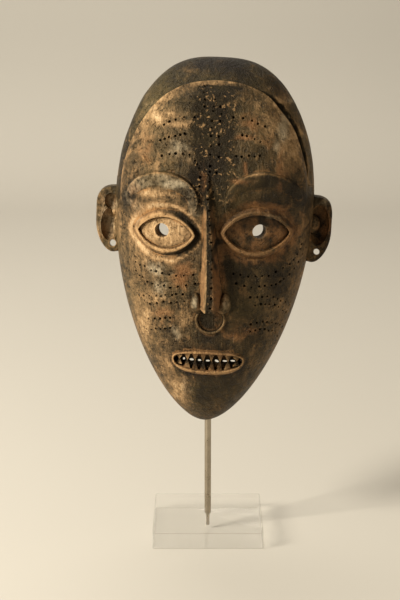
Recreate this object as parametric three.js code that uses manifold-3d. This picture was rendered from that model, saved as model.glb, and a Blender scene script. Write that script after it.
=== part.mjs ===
import * as THREE from "three";
import { mergeVertices } from "three/addons/utils/BufferGeometryUtils.js";
import Module from "manifold-3d";

// A carved wooden face mask on a steel rod in a clear block. Millimetres, +Z up, the face looks along -Y.
// The origin is at the middle of the block's underside, and the rod stands on the Z axis.

const wasm = await Module();
wasm.setup();

const block = { side: 100, height: 15, cornerRadius: 2, edge: 0.8, boreDepth: 12 };
const rod = { radius: 3, studRadius: 1.5, socketDepth: 30, endBevel: 1, sides: 24 };
const gap = 0.3;

// The mask has its own frame: chin tip at the origin, height along Z, face along -Y.
const stance = { chinHeight: 106.6, besideRod: -3, leanDegrees: 2.5, turnDegrees: -3 };
const head = { height: 329, halfWidth: 87.5, widestAt: 204, frontDepth: 62, deepestAt: 215, backDepth: 80 };
// The powers of the sines that give the head's outline and side profile, and of its level sections.
const swell = { widthBelow: 0.57, widthAbove: 0.35, depthBelow: 0.5, depthAbove: 0.5, section: 2.2 };
const shell = { backPlane: 32, wall: 11, chinWall: 14, hollowFloor: 44 };
// How far the face plate stands proud, and from which share of the way to the front it does.
const facePlate = {
  proud: 5.4, proudFrom: 150, proudTo: 245, fadeFrom: 0.2, fadeTo: 0.6, reliefFrom: 0.35,
};
const hairline = {
  crown: 311, crownY: -33, middleY: -34.5, temple: 225, templeY: -28, behindEar: 196, overlap: 3,
};
// The groove behind the face plate's edge is narrow on the left and broad on the right.
const groove = { depth: 3, width: 5.5, slant: 0.07, lower: 2.5 };
// The limit keeps the face's surface finite where it turns round the side of the head.
const sideLimit = 0.995;
const crowding = 0.3;
const farAway = 200;

const eyes = [
  { x: -39.2, height: 183, halfLength: 24, halfRise: 15.5, pupilX: -41.5, pupilHeight: 184.5 },
  { x: 39.5, height: 186.5, halfLength: 28, halfRise: 18, pupilX: 40.5, pupilHeight: 188 },
];
const lid = { thickness: 6, rise: 4.2, insetCorner: 1, inset: 2.5, ballRise: 2.6, pupilRadius: 6.3 };
const socket = { depth: 7, reachAcross: 29, reachUp: 22, above: 4 };

const brows = [
  {
    outer: [-73, 208], outerPull: [-68, 239], innerPull: [-9, 236], inner: [-15.5, 203],
    halfThickness: 7.8, rise: 3.8,
  },
  {
    outer: [75.5, 214], outerPull: [68, 237], innerPull: [12.5, 245], inner: [13.5, 203],
    halfThickness: 7.8, rise: 3.8,
  },
];

// The nose leans to its tip in the first shares of its length, then widens and rises by powers of the run.
const nose = {
  top: 248, tip: 118.5, topX: -6, tipX: 2, leanRate: 1.2,
  topHalf: 2.2, tipHalf: 11, widening: 1.4, topRise: 0.2, tipRise: 24, rising: 1.5,
};
// Across and up shares of the nose's section, round from its left foot: below zero it is inside the face.
const noseSection = [
  [-1, -0.3], [-1, 0], [-0.42, 0.85], [-0.22, 1], [0.22, 1], [0.42, 0.85], [1, 0], [1, -0.3],
];
const wings = [
  { x: -9.8, height: 122.5, halfWidth: 5.5, halfHeight: 9.5, rise: 7.5 },
  { x: 13.8, height: 123, halfWidth: 6.4, halfHeight: 9.6, rise: 7.5 },
];
const ring = { x: 2.8, height: 107.5, radius: 12.2, wire: 1.2, stretch: 1.3, lift: 0.2, fieldDepth: 0.9 };

const mouth = {
  x: 2, height: 69, halfLength: 30, up: 6.8, down: 9.6, mound: 4, moundAcross: 38, moundUp: 22, recess: 6.5,
};
const lips = { upperThickness: 3, lowerThickness: 5.6, cornerThickness: 2.2, rise: 3.6 };
const teeth = { pairs: 8, spacing: 7.2, halfWidth: 2.9, depth: 4.6, rooted: 2, tipPast: 0.6, arc: 0.75 };
const slit = { height: 2.4, endInset: 4, slope: 15, frontReach: 10, backReach: 10 };
const sunk = 3;

const ear = {
  rootX: 76, outerX: 104, top: 212.5, bottom: 153.5, frontY: -9, backY: 5, bevel: 2, corner: 16,
  lobeLift: 14, lobeEnd: 28, lobeSlope: 0.19, knobSink: 0.75,
};
// Each bowl is sunk in the ear, and each knob stands by a bowl. Both are given by their distance out,
// height, half width, half height and depth, and the hole in the lobe by distance out, height and radius.
const ears = [
  {
    side: -1, hole: [88.5, 161.8, 3],
    bowls: [[90.5, 199.5, 6.2, 7.4, 5.5], [91.6, 178.5, 8, 14.8, 7]],
    knobs: [[85.5, 190.5, 4.6, 4.4, 4.6], [84, 176, 4.5, 14, 3]],
  },
  {
    side: 1, hole: [92, 163.5, 2.7],
    bowls: [[92.5, 187.5, 9.2, 18, 7]],
    knobs: [[86.5, 187.5, 7.4, 8.4, 5.6]],
  },
];

const degree = Math.PI / 180;
const finish = {
  wood: new THREE.MeshStandardMaterial({ color: 0x5f4930, roughness: 0.62, metalness: 0 }),
  steel: new THREE.MeshStandardMaterial({ color: 0xb9b2a6, roughness: 0.28, metalness: 1 }),
  acrylic: new THREE.MeshStandardMaterial({
    color: 0xf4f2ea, roughness: 0.05, metalness: 0, transparent: true, opacity: 0.25,
  }),
};

function smoothstep(low, high, value) {
  return THREE.MathUtils.smoothstep(value, low, high);
}

// A closed geometry becomes a solid that can be joined and cut, and back again.
function toSolid(geometry) {
  const bare = geometry.clone();
  bare.deleteAttribute("normal");
  bare.deleteAttribute("uv");
  const merged = mergeVertices(bare, 1e-3);
  const vertProperties = new Float32Array(merged.attributes.position.array);
  const triVerts = new Uint32Array(merged.index.array);
  return new wasm.Manifold(new wasm.Mesh({ numProp: 3, vertProperties, triVerts }));
}

function toGeometry(solid) {
  const mesh = solid.getMesh();
  const geometry = new THREE.BufferGeometry();
  geometry.setAttribute("position", new THREE.BufferAttribute(mesh.vertProperties, 3));
  geometry.setIndex(new THREE.BufferAttribute(mesh.triVerts, 1));
  geometry.computeVertexNormals();
  return geometry;
}

function moveVertices(geometry, move) {
  const place = geometry.attributes.position;
  const point = new THREE.Vector3();
  for (let i = 0; i < place.count; i += 1) {
    point.fromBufferAttribute(place, i);
    const moved = move(point);
    place.setXYZ(i, moved.x, moved.y, moved.z);
  }
  return geometry;
}

// How wide and how deep the egg of the head is at a height, as a share of its greatest size.
function share(height, peak, top, powerBelow, powerAbove) {
  if (height <= 0 || height >= top) return 0;
  const below = height <= peak;
  const run = below ? height / peak : (top - height) / (top - peak);
  return Math.sin((Math.PI / 2) * run) ** (below ? powerBelow : powerAbove);
}

function halfWidthAt(height) {
  return head.halfWidth * share(height, head.widestAt, head.height, swell.widthBelow, swell.widthAbove);
}

function depthShareAt(height) {
  return share(height, head.deepestAt, head.height, swell.depthBelow, swell.depthAbove);
}

// The face plate stands proud of the cap at the forehead and sinks level with it below the ears.
function proudAt(height) {
  return facePlate.proud * smoothstep(facePlate.proudFrom, facePlate.proudTo, height);
}

function bump(x, height, middleX, middleHeight, reachX, reachHeight) {
  const across = (x - middleX) / reachX;
  const up = (height - middleHeight) / reachHeight;
  return Math.exp(-across * across - up * up);
}

// Broad hollows and swellings of the face: the eye sockets and the mound of the mouth.
function reliefAt(x, height) {
  let rise = mouth.mound * bump(x, height, mouth.x, mouth.height, mouth.moundAcross, mouth.moundUp);
  const { depth, reachAcross, reachUp, above } = socket;
  for (const eye of eyes) rise -= depth * bump(x, height, eye.x, eye.height + above, reachAcross, reachUp);
  return rise;
}

// The Y of the face's carved surface in front of a point.
function faceAt(x, height) {
  const width = halfWidthAt(height) + proudAt(height);
  const depth = head.frontDepth * depthShareAt(height) + proudAt(height);
  const across = Math.min(Math.abs(x) / width, sideLimit);
  return -depth * (1 - across ** swell.section) ** (1 / swell.section) - reliefAt(x, height);
}

function faceNormal(x, height) {
  const step = 1;
  const slopeX = (faceAt(x + step, height) - faceAt(x - step, height)) / (2 * step);
  const slopeUp = (faceAt(x, height + step) - faceAt(x, height - step)) / (2 * step);
  return new THREE.Vector3(slopeX, -1, slopeUp).normalize();
}

// A geometry drawn flat, X across, Y up and Z towards the viewer, is laid on the face.
function drape(geometry) {
  return moveVertices(geometry, (p) => new THREE.Vector3(p.x, faceAt(p.x, p.y) - p.z, p.y));
}

// The egg of the head from a sphere: its rings become the sections, its poles the crown and the chin.
function egg(around, rings, size, surface) {
  const ball = new THREE.SphereGeometry(1, around, rings);
  return moveVertices(ball, (p) => {
    const polar = Math.acos(THREE.MathUtils.clamp(p.y, -1, 1)) / Math.PI;
    const spin = Math.atan2(p.x, p.z);
    const angle = spin - crowding * Math.sin(spin);
    const upper = polar < 0.5;
    const run = 1 - Math.cos(Math.PI * (upper ? polar : 1 - polar));
    const height = upper
      ? size.top - (size.top - head.widestAt) * run
      : size.bottom + (head.widestAt - size.bottom) * run;
    const pole = Math.abs(p.y) > 1 - 1e-5;
    return surface(pole ? 0 : Math.sin(angle), pole ? 0 : Math.cos(angle), height);
  });
}

function superPower(value) {
  return Math.sign(value) * Math.abs(value) ** (2 / swell.section);
}

// The cap's own surface, without the face plate.
function capEgg() {
  return egg(36, 22, { top: head.height, bottom: 0 }, (side, front, height) => {
    const depth = front > 0 ? -head.frontDepth : -head.backDepth;
    return new THREE.Vector3(
      halfWidthAt(height) * superPower(side),
      depth * depthShareAt(height) * superPower(front),
      height,
    );
  });
}

// The floor of the groove behind the face plate, all over the cap.
function loweredCap() {
  const level = 1 - groove.depth / head.halfWidth;
  const upright = 1 - groove.depth / (head.height - head.widestAt);
  return moveVertices(capEgg(), (p) => {
    const height = p.z > head.widestAt ? head.widestAt + (p.z - head.widestAt) * upright : p.z;
    return new THREE.Vector3(p.x * level, p.y * level, height);
  });
}

// The face's surface, a few millimetres outside the cap's, with the sockets and the mouth's mound.
function faceEgg() {
  return egg(42, 34, { top: head.height, bottom: 0 }, (side, front, height) => {
    const proud = proudAt(height) * smoothstep(facePlate.fadeFrom, facePlate.fadeTo, front);
    const x = (halfWidthAt(height) + proud) * superPower(side);
    if (front <= 0) {
      return new THREE.Vector3(x, -head.backDepth * depthShareAt(height) * superPower(front), height);
    }
    const depth = head.frontDepth * depthShareAt(height) + proud;
    const facing = smoothstep(0, facePlate.reliefFrom, front);
    return new THREE.Vector3(x, -depth * superPower(front) - facing * reliefAt(x, height), height);
  });
}

// The hollow has the cap's form one wall thickness inside, down to a flat floor over the solid chin.
function hollowEgg() {
  const top = head.height - shell.wall;
  const bottom = shell.chinWall;
  return egg(26, 16, { top, bottom }, (side, front, height) => {
    const toHeadHeight = height <= head.widestAt
      ? ((height - bottom) * head.widestAt) / (head.widestAt - bottom)
      : head.widestAt + (height - head.widestAt) * ((head.height - head.widestAt) / (top - head.widestAt));
    const depth = front > 0 ? -(head.frontDepth - shell.wall) : -(head.backDepth + shell.wall);
    const width = (head.halfWidth - shell.wall) / head.halfWidth;
    return new THREE.Vector3(
      width * halfWidthAt(toHeadHeight) * superPower(side),
      depth * depthShareAt(toHeadHeight) * superPower(front),
      height,
    );
  });
}

function boxSolid(low, high) {
  const box = new THREE.BoxGeometry(high[0] - low[0], high[1] - low[1], high[2] - low[2]);
  box.translate((low[0] + high[0]) / 2, (low[1] + high[1]) / 2, (low[2] + high[2]) / 2);
  return toSolid(box);
}

// Everything in front of the hairline, seen from the side, as a prism across the head.
function frontOfHairline(setBack = 0, lower = 0, slant = 0) {
  const { crown, crownY, middleY, temple, templeY, behindEar } = hairline;
  const outline = new THREE.Shape();
  outline.moveTo(-farAway, -farAway);
  outline.lineTo(farAway, -farAway);
  outline.lineTo(farAway, behindEar);
  outline.lineTo(templeY, temple);
  outline.quadraticCurveTo(middleY, (temple + crown) / 2, crownY, crown);
  outline.lineTo(crownY, head.height + farAway);
  outline.lineTo(-farAway, head.height + farAway);
  const flat = { depth: 2 * farAway, bevelEnabled: false, curveSegments: 6 };
  const prism = new THREE.ExtrudeGeometry(outline, flat);
  prism.translate(-setBack, -lower, -farAway);
  return toSolid(moveVertices(prism, (p) => new THREE.Vector3(p.z, p.x + slant * p.z, p.y)));
}

function capSolid() {
  const grooved = toSolid(capEgg()).subtract(frontOfHairline(-groove.width, groove.lower, groove.slant));
  const whole = grooved.add(toSolid(loweredCap()));
  return whole.subtract(frontOfHairline(hairline.overlap, hairline.overlap));
}

// A rounded ridge that tapers at both ends, along a flat curve: Z is its rise.
function ridge(curve, halfWidth, rise, depth, along, around) {
  const ball = new THREE.SphereGeometry(1, around, along);
  return moveVertices(ball, (p) => {
    const run = Math.acos(THREE.MathUtils.clamp(p.y, -1, 1)) / Math.PI;
    const centre = curve.getPoint(run);
    const ahead = curve.getTangent(run);
    const taper = Math.sin(Math.PI * run) ** 0.5;
    const spin = Math.atan2(p.z, p.x);
    const pole = Math.abs(p.y) > 1 - 1e-5;
    const across = pole ? 0 : Math.cos(spin) * halfWidth * taper;
    const up = pole ? 0 : Math.sin(spin) * taper;
    return new THREE.Vector3(
      centre.x - ahead.y * across,
      centre.y + ahead.x * across,
      up > 0 ? up * rise : up * depth,
    );
  });
}

const outlineSides = 28;

function signedPower(value, power) {
  return Math.sign(value) * Math.abs(value) ** power;
}

// An almond: two arcs that meet in soft points at the corners.
function almond(angle, halfLength, up, down) {
  const lift = Math.sin(angle);
  return new THREE.Vector2(halfLength * Math.cos(angle), (lift > 0 ? up : down) * signedPower(lift, 1.5));
}

// The mouth is flatter than an almond and blunt at the corners.
function mouthOutline(angle, halfLength, up, down) {
  const lift = Math.sin(angle);
  return new THREE.Vector2(
    halfLength * signedPower(Math.cos(angle), 0.8),
    (lift > 0 ? up : down) * signedPower(lift, 0.85),
  );
}

// A band round an opening, from a torus whose tube becomes the band's section.
function rimBand(outline, centre, inner, thickness, rise) {
  const tube = 0.25;
  const torus = new THREE.TorusGeometry(1, tube, 6, outlineSides);
  return moveVertices(torus, (p) => {
    const angle = Math.atan2(p.y, p.x);
    const half = ((Math.hypot(p.x, p.y) - 1) / tube + 1) / 2;
    const height = p.z / tube;
    const edge = outline(
      angle,
      inner.halfLength + thickness.corner * half,
      inner.up + thickness.up * half,
      inner.down + thickness.down * half,
    );
    const lift = height > 0 ? height * rise : height * sunk;
    return new THREE.Vector3(centre.x + edge.x, centre.height + edge.y, lift);
  });
}

// The eye: a raised lid round a low ball, both laid in the socket.
function eyeSolids(eye) {
  const opening = eye.halfRise - lid.inset;
  const inner = { halfLength: eye.halfLength - lid.insetCorner, up: opening, down: opening };
  const thickness = { corner: lid.thickness, up: lid.thickness, down: lid.thickness };
  const rim = rimBand(almond, eye, inner, thickness, lid.rise);
  const ball = new THREE.SphereGeometry(1, 14, 8);
  ball.scale(eye.halfLength, eye.halfRise, lid.ballRise);
  ball.translate(eye.x, eye.height, 0);
  return [toSolid(drape(rim)), toSolid(drape(ball))];
}

function boreAlong(point, direction, radius, length, sides) {
  const bore = new THREE.CylinderGeometry(radius, radius, length, sides);
  const turn = new THREE.Quaternion().setFromUnitVectors(new THREE.Vector3(0, 1, 0), direction);
  bore.applyQuaternion(turn);
  bore.translate(point.x, point.y, point.z);
  return toSolid(bore);
}

// The pupil is bored square to the face, right through its wall.
function pupil({ pupilX, pupilHeight }) {
  const point = new THREE.Vector3(pupilX, faceAt(pupilX, pupilHeight), pupilHeight);
  return boreAlong(point, faceNormal(pupilX, pupilHeight), lid.pupilRadius, 4 * shell.wall, 16);
}

function browSolid({ outer, outerPull, innerPull, inner, halfThickness, rise }) {
  const points = [outer, outerPull, innerPull, inner].map((point) => new THREE.Vector2(...point));
  const curve = new THREE.CubicBezierCurve(...points);
  return toSolid(drape(ridge(curve, halfThickness, rise, sunk, 12, 8)));
}

// The nose is a long bevelled wedge from between the brows to its tip, with a narrow flat ridge.
function noseSolid() {
  const { lerp } = THREE.MathUtils;
  const slots = noseSection.length;
  const footDepth = 8;
  const wedge = new THREE.CylinderGeometry(1, 1, 1, slots, 9);
  return toSolid(moveVertices(wedge, (p) => {
    const run = 0.5 - p.y;
    const slot = Math.round((Math.atan2(p.x, p.z) / (2 * Math.PI)) * slots + slots) % slots;
    const rim = Math.hypot(p.x, p.z) > 0.5;
    const [across, up] = rim ? noseSection[slot] : [0, 0.3];
    const height = lerp(nose.top, nose.tip, run);
    const half = lerp(nose.topHalf, nose.tipHalf, run ** nose.widening);
    const rise = lerp(nose.topRise, nose.tipRise, run ** nose.rising);
    const x = lerp(nose.topX, nose.tipX, Math.min(run * nose.leanRate, 1));
    const lift = up > 0 ? up * rise : up * footDepth;
    return new THREE.Vector3(x + across * half, faceAt(x, height) - lift, height);
  }));
}

function wingSolid(wing) {
  const oval = new THREE.SphereGeometry(1, 10, 8);
  oval.scale(wing.halfWidth, wing.halfHeight, wing.rise);
  oval.translate(wing.x, wing.height, 0);
  return toSolid(drape(oval));
}

// The ring carved in relief from the nose to the upper lip, with a slightly sunk field inside it.
function ringSolids() {
  const hoop = new THREE.TorusGeometry(ring.radius, ring.wire, 6, 24);
  hoop.scale(1, 1, ring.stretch);
  hoop.translate(ring.x, ring.height, ring.lift);
  const field = new THREE.CylinderGeometry(ring.radius, ring.radius, ring.radius, 24);
  field.rotateX(Math.PI / 2);
  field.translate(ring.x, ring.height, ring.radius / 2 - ring.fieldDepth);
  return { hoop: toSolid(drape(hoop)), field: toSolid(drape(field)) };
}

function lipBand() {
  const inner = { halfLength: mouth.halfLength, up: mouth.up, down: mouth.down };
  const thickness = { corner: lips.cornerThickness, up: lips.upperThickness, down: lips.lowerThickness };
  return toSolid(drape(rimBand(mouthOutline, mouth, inner, thickness, lips.rise)));
}

function mouthRecess() {
  const floor = lips.rise - mouth.recess - sunk;
  const prism = new THREE.CylinderGeometry(1, 1, 1, outlineSides, 1);
  prism.rotateX(Math.PI / 2);
  return toSolid(drape(moveVertices(prism, (p) => {
    const rim = Math.hypot(p.x, p.y) > 0.5;
    const angle = Math.atan2(p.y, p.x);
    const edge = rim ? mouthOutline(angle, mouth.halfLength, mouth.up, mouth.down) : new THREE.Vector2();
    return new THREE.Vector3(mouth.x + edge.x, mouth.height + edge.y, p.z > 0 ? mouth.halfLength : floor);
  })));
}

// The slit between the teeth runs down and back through the wall behind them.
function mouthSlit() {
  const length = 2 * (mouth.halfLength - slit.endInset);
  const box = new THREE.BoxGeometry(length, slit.height, 2, 12, 1, 1);
  const slope = Math.tan(slit.slope * degree);
  return toSolid(moveVertices(box, (p) => {
    const x = mouth.x + p.x;
    const surface = faceAt(x, mouth.height);
    const y = p.z < 0 ? slit.backReach : surface - slit.frontReach;
    return new THREE.Vector3(x, y, mouth.height + p.y - (y - surface) * slope);
  }));
}

// Filed teeth: pointed pyramids from both lips whose tips meet at the middle of the mouth.
function toothSolids() {
  const solids = [];
  for (let pair = 0; pair < teeth.pairs; pair += 1) {
    const x = mouth.x + (pair - (teeth.pairs - 1) / 2) * teeth.spacing;
    const reach = (x - mouth.x) / mouth.halfLength;
    const open = (1 - reach * reach) ** teeth.arc;
    for (const way of [1, -1]) {
      const length = (way > 0 ? mouth.up : mouth.down) * open + teeth.rooted;
      const tooth = new THREE.ConeGeometry(teeth.halfWidth * Math.SQRT2, length, 4);
      tooth.rotateY(Math.PI / 4);
      tooth.scale(1, 1, teeth.depth / (2 * teeth.halfWidth));
      if (way > 0) tooth.rotateZ(Math.PI);
      tooth.translate(x, mouth.height + way * (length / 2 - teeth.tipPast), -mouth.recess / 2);
      solids.push(toSolid(drape(tooth)));
    }
  }
  return solids;
}

function earOutline(side) {
  const { rootX, outerX, top, bottom, corner, lobeLift, lobeEnd, bevel } = ear;
  const outline = new THREE.Shape();
  outline.moveTo(side * rootX, bottom + bevel);
  outline.lineTo(side * (outerX - corner), bottom);
  outline.bezierCurveTo(
    side * (outerX - corner / 2), bottom, side * outerX, bottom + lobeLift, side * outerX, bottom + lobeEnd,
  );
  outline.lineTo(side * outerX, top - corner);
  outline.quadraticCurveTo(side * outerX, top, side * (outerX - corner), top);
  outline.lineTo(side * rootX, top);
  return outline;
}

function ovalAt(side, [outwards, height, half, tall, deep], level) {
  const oval = new THREE.SphereGeometry(1, 14, 8);
  oval.scale(half, deep, tall);
  oval.translate(side * outwards, level, height);
  return toSolid(oval);
}

// The ear: a flange with a raised rim round its bowls, a knob by the temple and a pierced lobe.
function earSolid({ side, hole, bowls, knobs }) {
  const flange = new THREE.ExtrudeGeometry(earOutline(side), {
    depth: ear.backY - ear.frontY - 2 * ear.bevel,
    bevelThickness: ear.bevel, bevelSize: ear.bevel, bevelOffset: -ear.bevel,
    bevelSegments: 1, curveSegments: 6,
  });
  flange.translate(0, 0, -ear.backY + ear.bevel);
  flange.rotateX(Math.PI / 2);
  let solid = toSolid(flange);
  for (const bowl of bowls) solid = solid.subtract(ovalAt(side, bowl, ear.frontY));
  for (const knob of knobs) solid = solid.add(ovalAt(side, knob, ear.frontY + knob[4] * ear.knobSink));
  const [outwards, height, radius] = hole;
  const along = new THREE.Vector3(0, 1, -ear.lobeSlope).normalize();
  const lobe = new THREE.Vector3(side * outwards, ear.frontY, height);
  return solid.subtract(boreAlong(lobe, along, radius, 4 * shell.wall, 12));
}

function stanceMatrix() {
  const place = new THREE.Matrix4().makeTranslation(stance.besideRod, 0, stance.chinHeight);
  place.multiply(new THREE.Matrix4().makeRotationZ(stance.turnDegrees * degree));
  place.multiply(new THREE.Matrix4().makeRotationY(stance.leanDegrees * degree));
  return place;
}

function maskSolid() {
  let mask = capSolid().add(toSolid(faceEgg()).intersect(frontOfHairline()));
  const parts = [noseSolid(), lipBand()];
  for (const shape of ears) parts.push(earSolid(shape));
  for (const wing of wings) parts.push(wingSolid(wing));
  for (const brow of brows) parts.push(browSolid(brow));
  for (const eye of eyes) parts.push(...eyeSolids(eye));
  const { hoop, field } = ringSolids();
  mask = mask.subtract(field).add(hoop);
  for (const part of parts) mask = mask.add(part);
  const overChin = boxSolid([-farAway, -farAway, shell.hollowFloor], [farAway, farAway, head.height]);
  mask = mask.subtract(toSolid(hollowEgg()).intersect(overChin));
  mask = mask.subtract(mouthRecess()).subtract(mouthSlit());
  for (const tooth of toothSolids()) mask = mask.add(tooth);
  for (const eye of eyes) mask = mask.subtract(pupil(eye));
  return mask.subtract(boxSolid([-farAway, shell.backPlane, -farAway], [farAway, farAway, 2 * head.height]));
}

function maskMesh() {
  const standing = toGeometry(maskSolid()).applyMatrix4(stanceMatrix());
  const wide = rod.radius + gap;
  const socketBore = new THREE.CylinderGeometry(wide, wide, 2 * rod.socketDepth, rod.sides);
  socketBore.rotateX(Math.PI / 2);
  socketBore.translate(0, 0, stance.chinHeight);
  const geometry = toGeometry(toSolid(standing).subtract(toSolid(socketBore)));
  const mesh = new THREE.Mesh(geometry, finish.wood);
  mesh.name = "mask";
  return mesh;
}

function lathe(profile, sides) {
  const geometry = new THREE.LatheGeometry(profile.map(([x, y]) => new THREE.Vector2(x, y)), sides);
  geometry.rotateX(Math.PI / 2);
  return geometry;
}

function rodMesh() {
  const foot = block.height + gap;
  const top = stance.chinHeight + rod.socketDepth - gap;
  const studEnd = block.height - block.boreDepth + gap;
  const mesh = new THREE.Mesh(lathe([
    [0, studEnd], [rod.studRadius, studEnd], [rod.studRadius, foot], [rod.radius, foot],
    [rod.radius, top - rod.endBevel], [rod.radius - rod.endBevel, top], [0, top],
  ], rod.sides), finish.steel);
  mesh.name = "rod";
  return mesh;
}

function baseMesh() {
  const half = block.side / 2 - block.edge;
  const round = block.cornerRadius - block.edge;
  const outline = new THREE.Shape();
  outline.moveTo(-half + round, -half);
  outline.lineTo(half - round, -half);
  outline.absarc(half - round, -half + round, round, -Math.PI / 2, 0);
  outline.absarc(half - round, half - round, round, 0, Math.PI / 2);
  outline.absarc(-half + round, half - round, round, Math.PI / 2, Math.PI);
  outline.absarc(-half + round, -half + round, round, Math.PI, 1.5 * Math.PI);
  const slab = new THREE.ExtrudeGeometry(outline, {
    depth: block.height - 2 * block.edge, bevelThickness: block.edge, bevelSize: block.edge,
    bevelSegments: 1, curveSegments: 3,
  });
  slab.translate(0, 0, block.edge);
  const wide = rod.studRadius + gap;
  const bore = new THREE.CylinderGeometry(wide, wide, 2 * block.boreDepth, rod.sides);
  bore.rotateX(Math.PI / 2);
  bore.translate(0, 0, block.height);
  const mesh = new THREE.Mesh(toGeometry(toSolid(slab).subtract(toSolid(bore))), finish.acrylic);
  mesh.name = "base";
  return mesh;
}

const model = new THREE.Group();
model.add(maskMesh(), rodMesh(), baseMesh());

export default model;
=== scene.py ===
import math
import random

import bmesh
import bpy
import numpy as np
from mathutils import Matrix, Vector
from mathutils.bvhtree import BVHTree


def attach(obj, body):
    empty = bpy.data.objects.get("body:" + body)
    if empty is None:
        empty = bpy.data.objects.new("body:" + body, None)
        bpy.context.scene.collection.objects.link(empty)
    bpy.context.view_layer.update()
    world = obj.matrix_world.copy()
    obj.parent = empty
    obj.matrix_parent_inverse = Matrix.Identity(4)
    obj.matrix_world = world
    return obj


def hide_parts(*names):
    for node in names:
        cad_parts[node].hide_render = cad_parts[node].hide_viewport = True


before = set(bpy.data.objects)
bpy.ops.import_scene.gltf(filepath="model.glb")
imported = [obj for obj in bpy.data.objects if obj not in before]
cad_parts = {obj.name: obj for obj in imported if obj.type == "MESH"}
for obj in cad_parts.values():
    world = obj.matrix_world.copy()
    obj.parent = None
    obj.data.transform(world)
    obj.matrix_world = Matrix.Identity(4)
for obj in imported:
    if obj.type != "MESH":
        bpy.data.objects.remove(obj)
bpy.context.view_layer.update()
scene = bpy.context.scene
print("frame loaded")

# the camera stands where the photo was taken from
view = {"place": (-0.0072, -1.357, 0.552), "tiltDegrees": 76.2, "lens": 93.3}

cameraData = bpy.data.cameras.new("photoCamera")
cameraData.lens = view["lens"]
cameraData.sensor_width = 36
camera = bpy.data.objects.new("photoCamera", cameraData)
camera.location = view["place"]
camera.rotation_euler = (math.radians(view["tiltDegrees"]), 0, 0)
scene.collection.objects.link(camera)
scene.camera = camera


farAway = 200  # millimetres, past every side of the mask
sunk = 3  # millimetres that a carved form reaches into the wood below it


def smooth(low, high, value):
    run = np.clip((value - low) / (high - low), 0, 1)
    return run * run * (3 - 2 * run)


def mix(first, second, share):
    return first + (second - first) * share


def waves(points, scale, seed):
    # soft unevenness between -1 and 1, as a blade leaves it: crossed sines at odd angles
    spin = random.Random(seed)
    total = np.zeros(len(points))
    for _ in range(7):
        axis = np.array([spin.gauss(0, 1) for _ in range(3)])
        axis = axis / np.linalg.norm(axis) / scale * spin.uniform(0.7, 1.6)
        total += np.sin(points @ axis * 2 * math.pi + spin.uniform(0, 6.28))
    return total / 7 * 1.6


def placesOf(bm):
    return np.array([vert.co[:] for vert in bm.verts])


def stack(x, y, z):
    return np.stack([x, y, z], axis=1)


def moveVerts(bm, places):
    for vert, place in zip(bm.verts, places):
        vert.co = place
    return bm


def newVerts(drawn):
    return [item for item in drawn["geom"] if isinstance(item, bmesh.types.BMVert)]


def ball(around, rings):
    bm = bmesh.new()
    bmesh.ops.create_uvsphere(bm, u_segments=around, v_segments=rings, radius=1)
    return bm


def cylinder(radius, depth, segments, matrix=Matrix()):
    bm = bmesh.new()
    bmesh.ops.create_cone(bm, cap_ends=True, segments=segments, radius1=radius, radius2=radius, depth=depth,
                          matrix=matrix)
    return bm


def bevel(bm, edges, offset, segments, clamp=False):
    bmesh.ops.bevel(bm, geom=edges, offset=offset, offset_type="OFFSET", segments=segments, profile=0.5,
                    affect="EDGES", material=-1, clamp_overlap=clamp)


def drawOut(bm, faces, way):
    drawn = bmesh.ops.extrude_face_region(bm, geom=faces)
    bmesh.ops.translate(bm, vec=way, verts=newVerts(drawn))


def solidFrom(bm, name):
    # a working solid in millimetres, faces outwards
    bmesh.ops.remove_doubles(bm, verts=bm.verts, dist=1e-4)
    bmesh.ops.recalc_face_normals(bm, faces=bm.faces)
    mesh = bpy.data.meshes.new(name)
    bm.to_mesh(mesh)
    bm.free()
    solid = bpy.data.objects.new(name, mesh)
    scene.collection.objects.link(solid)
    return solid


def combine(base, tools, operation):
    # joins, cuts or keeps with each tool in turn, and takes the tools away
    for tool in tools:
        change = base.modifiers.new("change", "BOOLEAN")
        change.operation = operation
        change.solver = "MANIFOLD"
        change.object = tool
    ready = base.evaluated_get(bpy.context.evaluated_depsgraph_get())
    mesh = bpy.data.meshes.new_from_object(ready)
    base.modifiers.clear()
    base.data = mesh
    for tool in tools:
        bpy.data.objects.remove(tool)
    return base


def boxSolid(low, high, name):
    bm = bmesh.new()
    bmesh.ops.create_cube(bm, size=1)
    size = Vector(high) - Vector(low)
    bmesh.ops.scale(bm, vec=size, verts=bm.verts)
    bmesh.ops.translate(bm, vec=(Vector(high) + Vector(low)) / 2, verts=bm.verts)
    return solidFrom(bm, name)


# the form of the head, in millimetres: chin tip at the origin, height along Z, face along -Y
head = {
    "height": 329, "halfWidth": 87.5, "widestAt": 204, "frontDepth": 62, "deepestAt": 215, "backDepth": 80,
    "widthBelow": 0.57, "widthAbove": 0.35, "depthBelow": 0.5, "depthAbove": 0.5, "section": 2.2,
    "backPlane": 32, "wall": 11, "chinWall": 14, "hollowFloor": 44, "sideLimit": 0.995,
}


def share(height, peak, top, powerBelow, powerAbove):
    height = np.clip(height, 1e-6, top - 1e-6)
    below = np.sin(math.pi / 2 * np.clip(height / peak, 0, 1)) ** powerBelow
    above = np.sin(math.pi / 2 * np.clip((top - height) / (top - peak), 0, 1)) ** powerAbove
    return np.where(height <= peak, below, above)


def halfWidthAt(height):
    return head["halfWidth"] * share(
        height, head["widestAt"], head["height"], head["widthBelow"], head["widthAbove"])


def depthShareAt(height):
    return share(height, head["deepestAt"], head["height"], head["depthBelow"], head["depthAbove"])


# the face stands proud of the head, up to the hairline
facePlate = {
    "proud": 5.4, "proudFrom": 150, "proudTo": 245, "fadeFrom": 0.2, "fadeTo": 0.6, "reliefFrom": 0.35,
    "wornEdge": 5.5, "wornDrop": 2.0, "grooveDepth": 3.0, "grooveLeft": 1.4, "grooveRight": 10.5,
}


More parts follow.
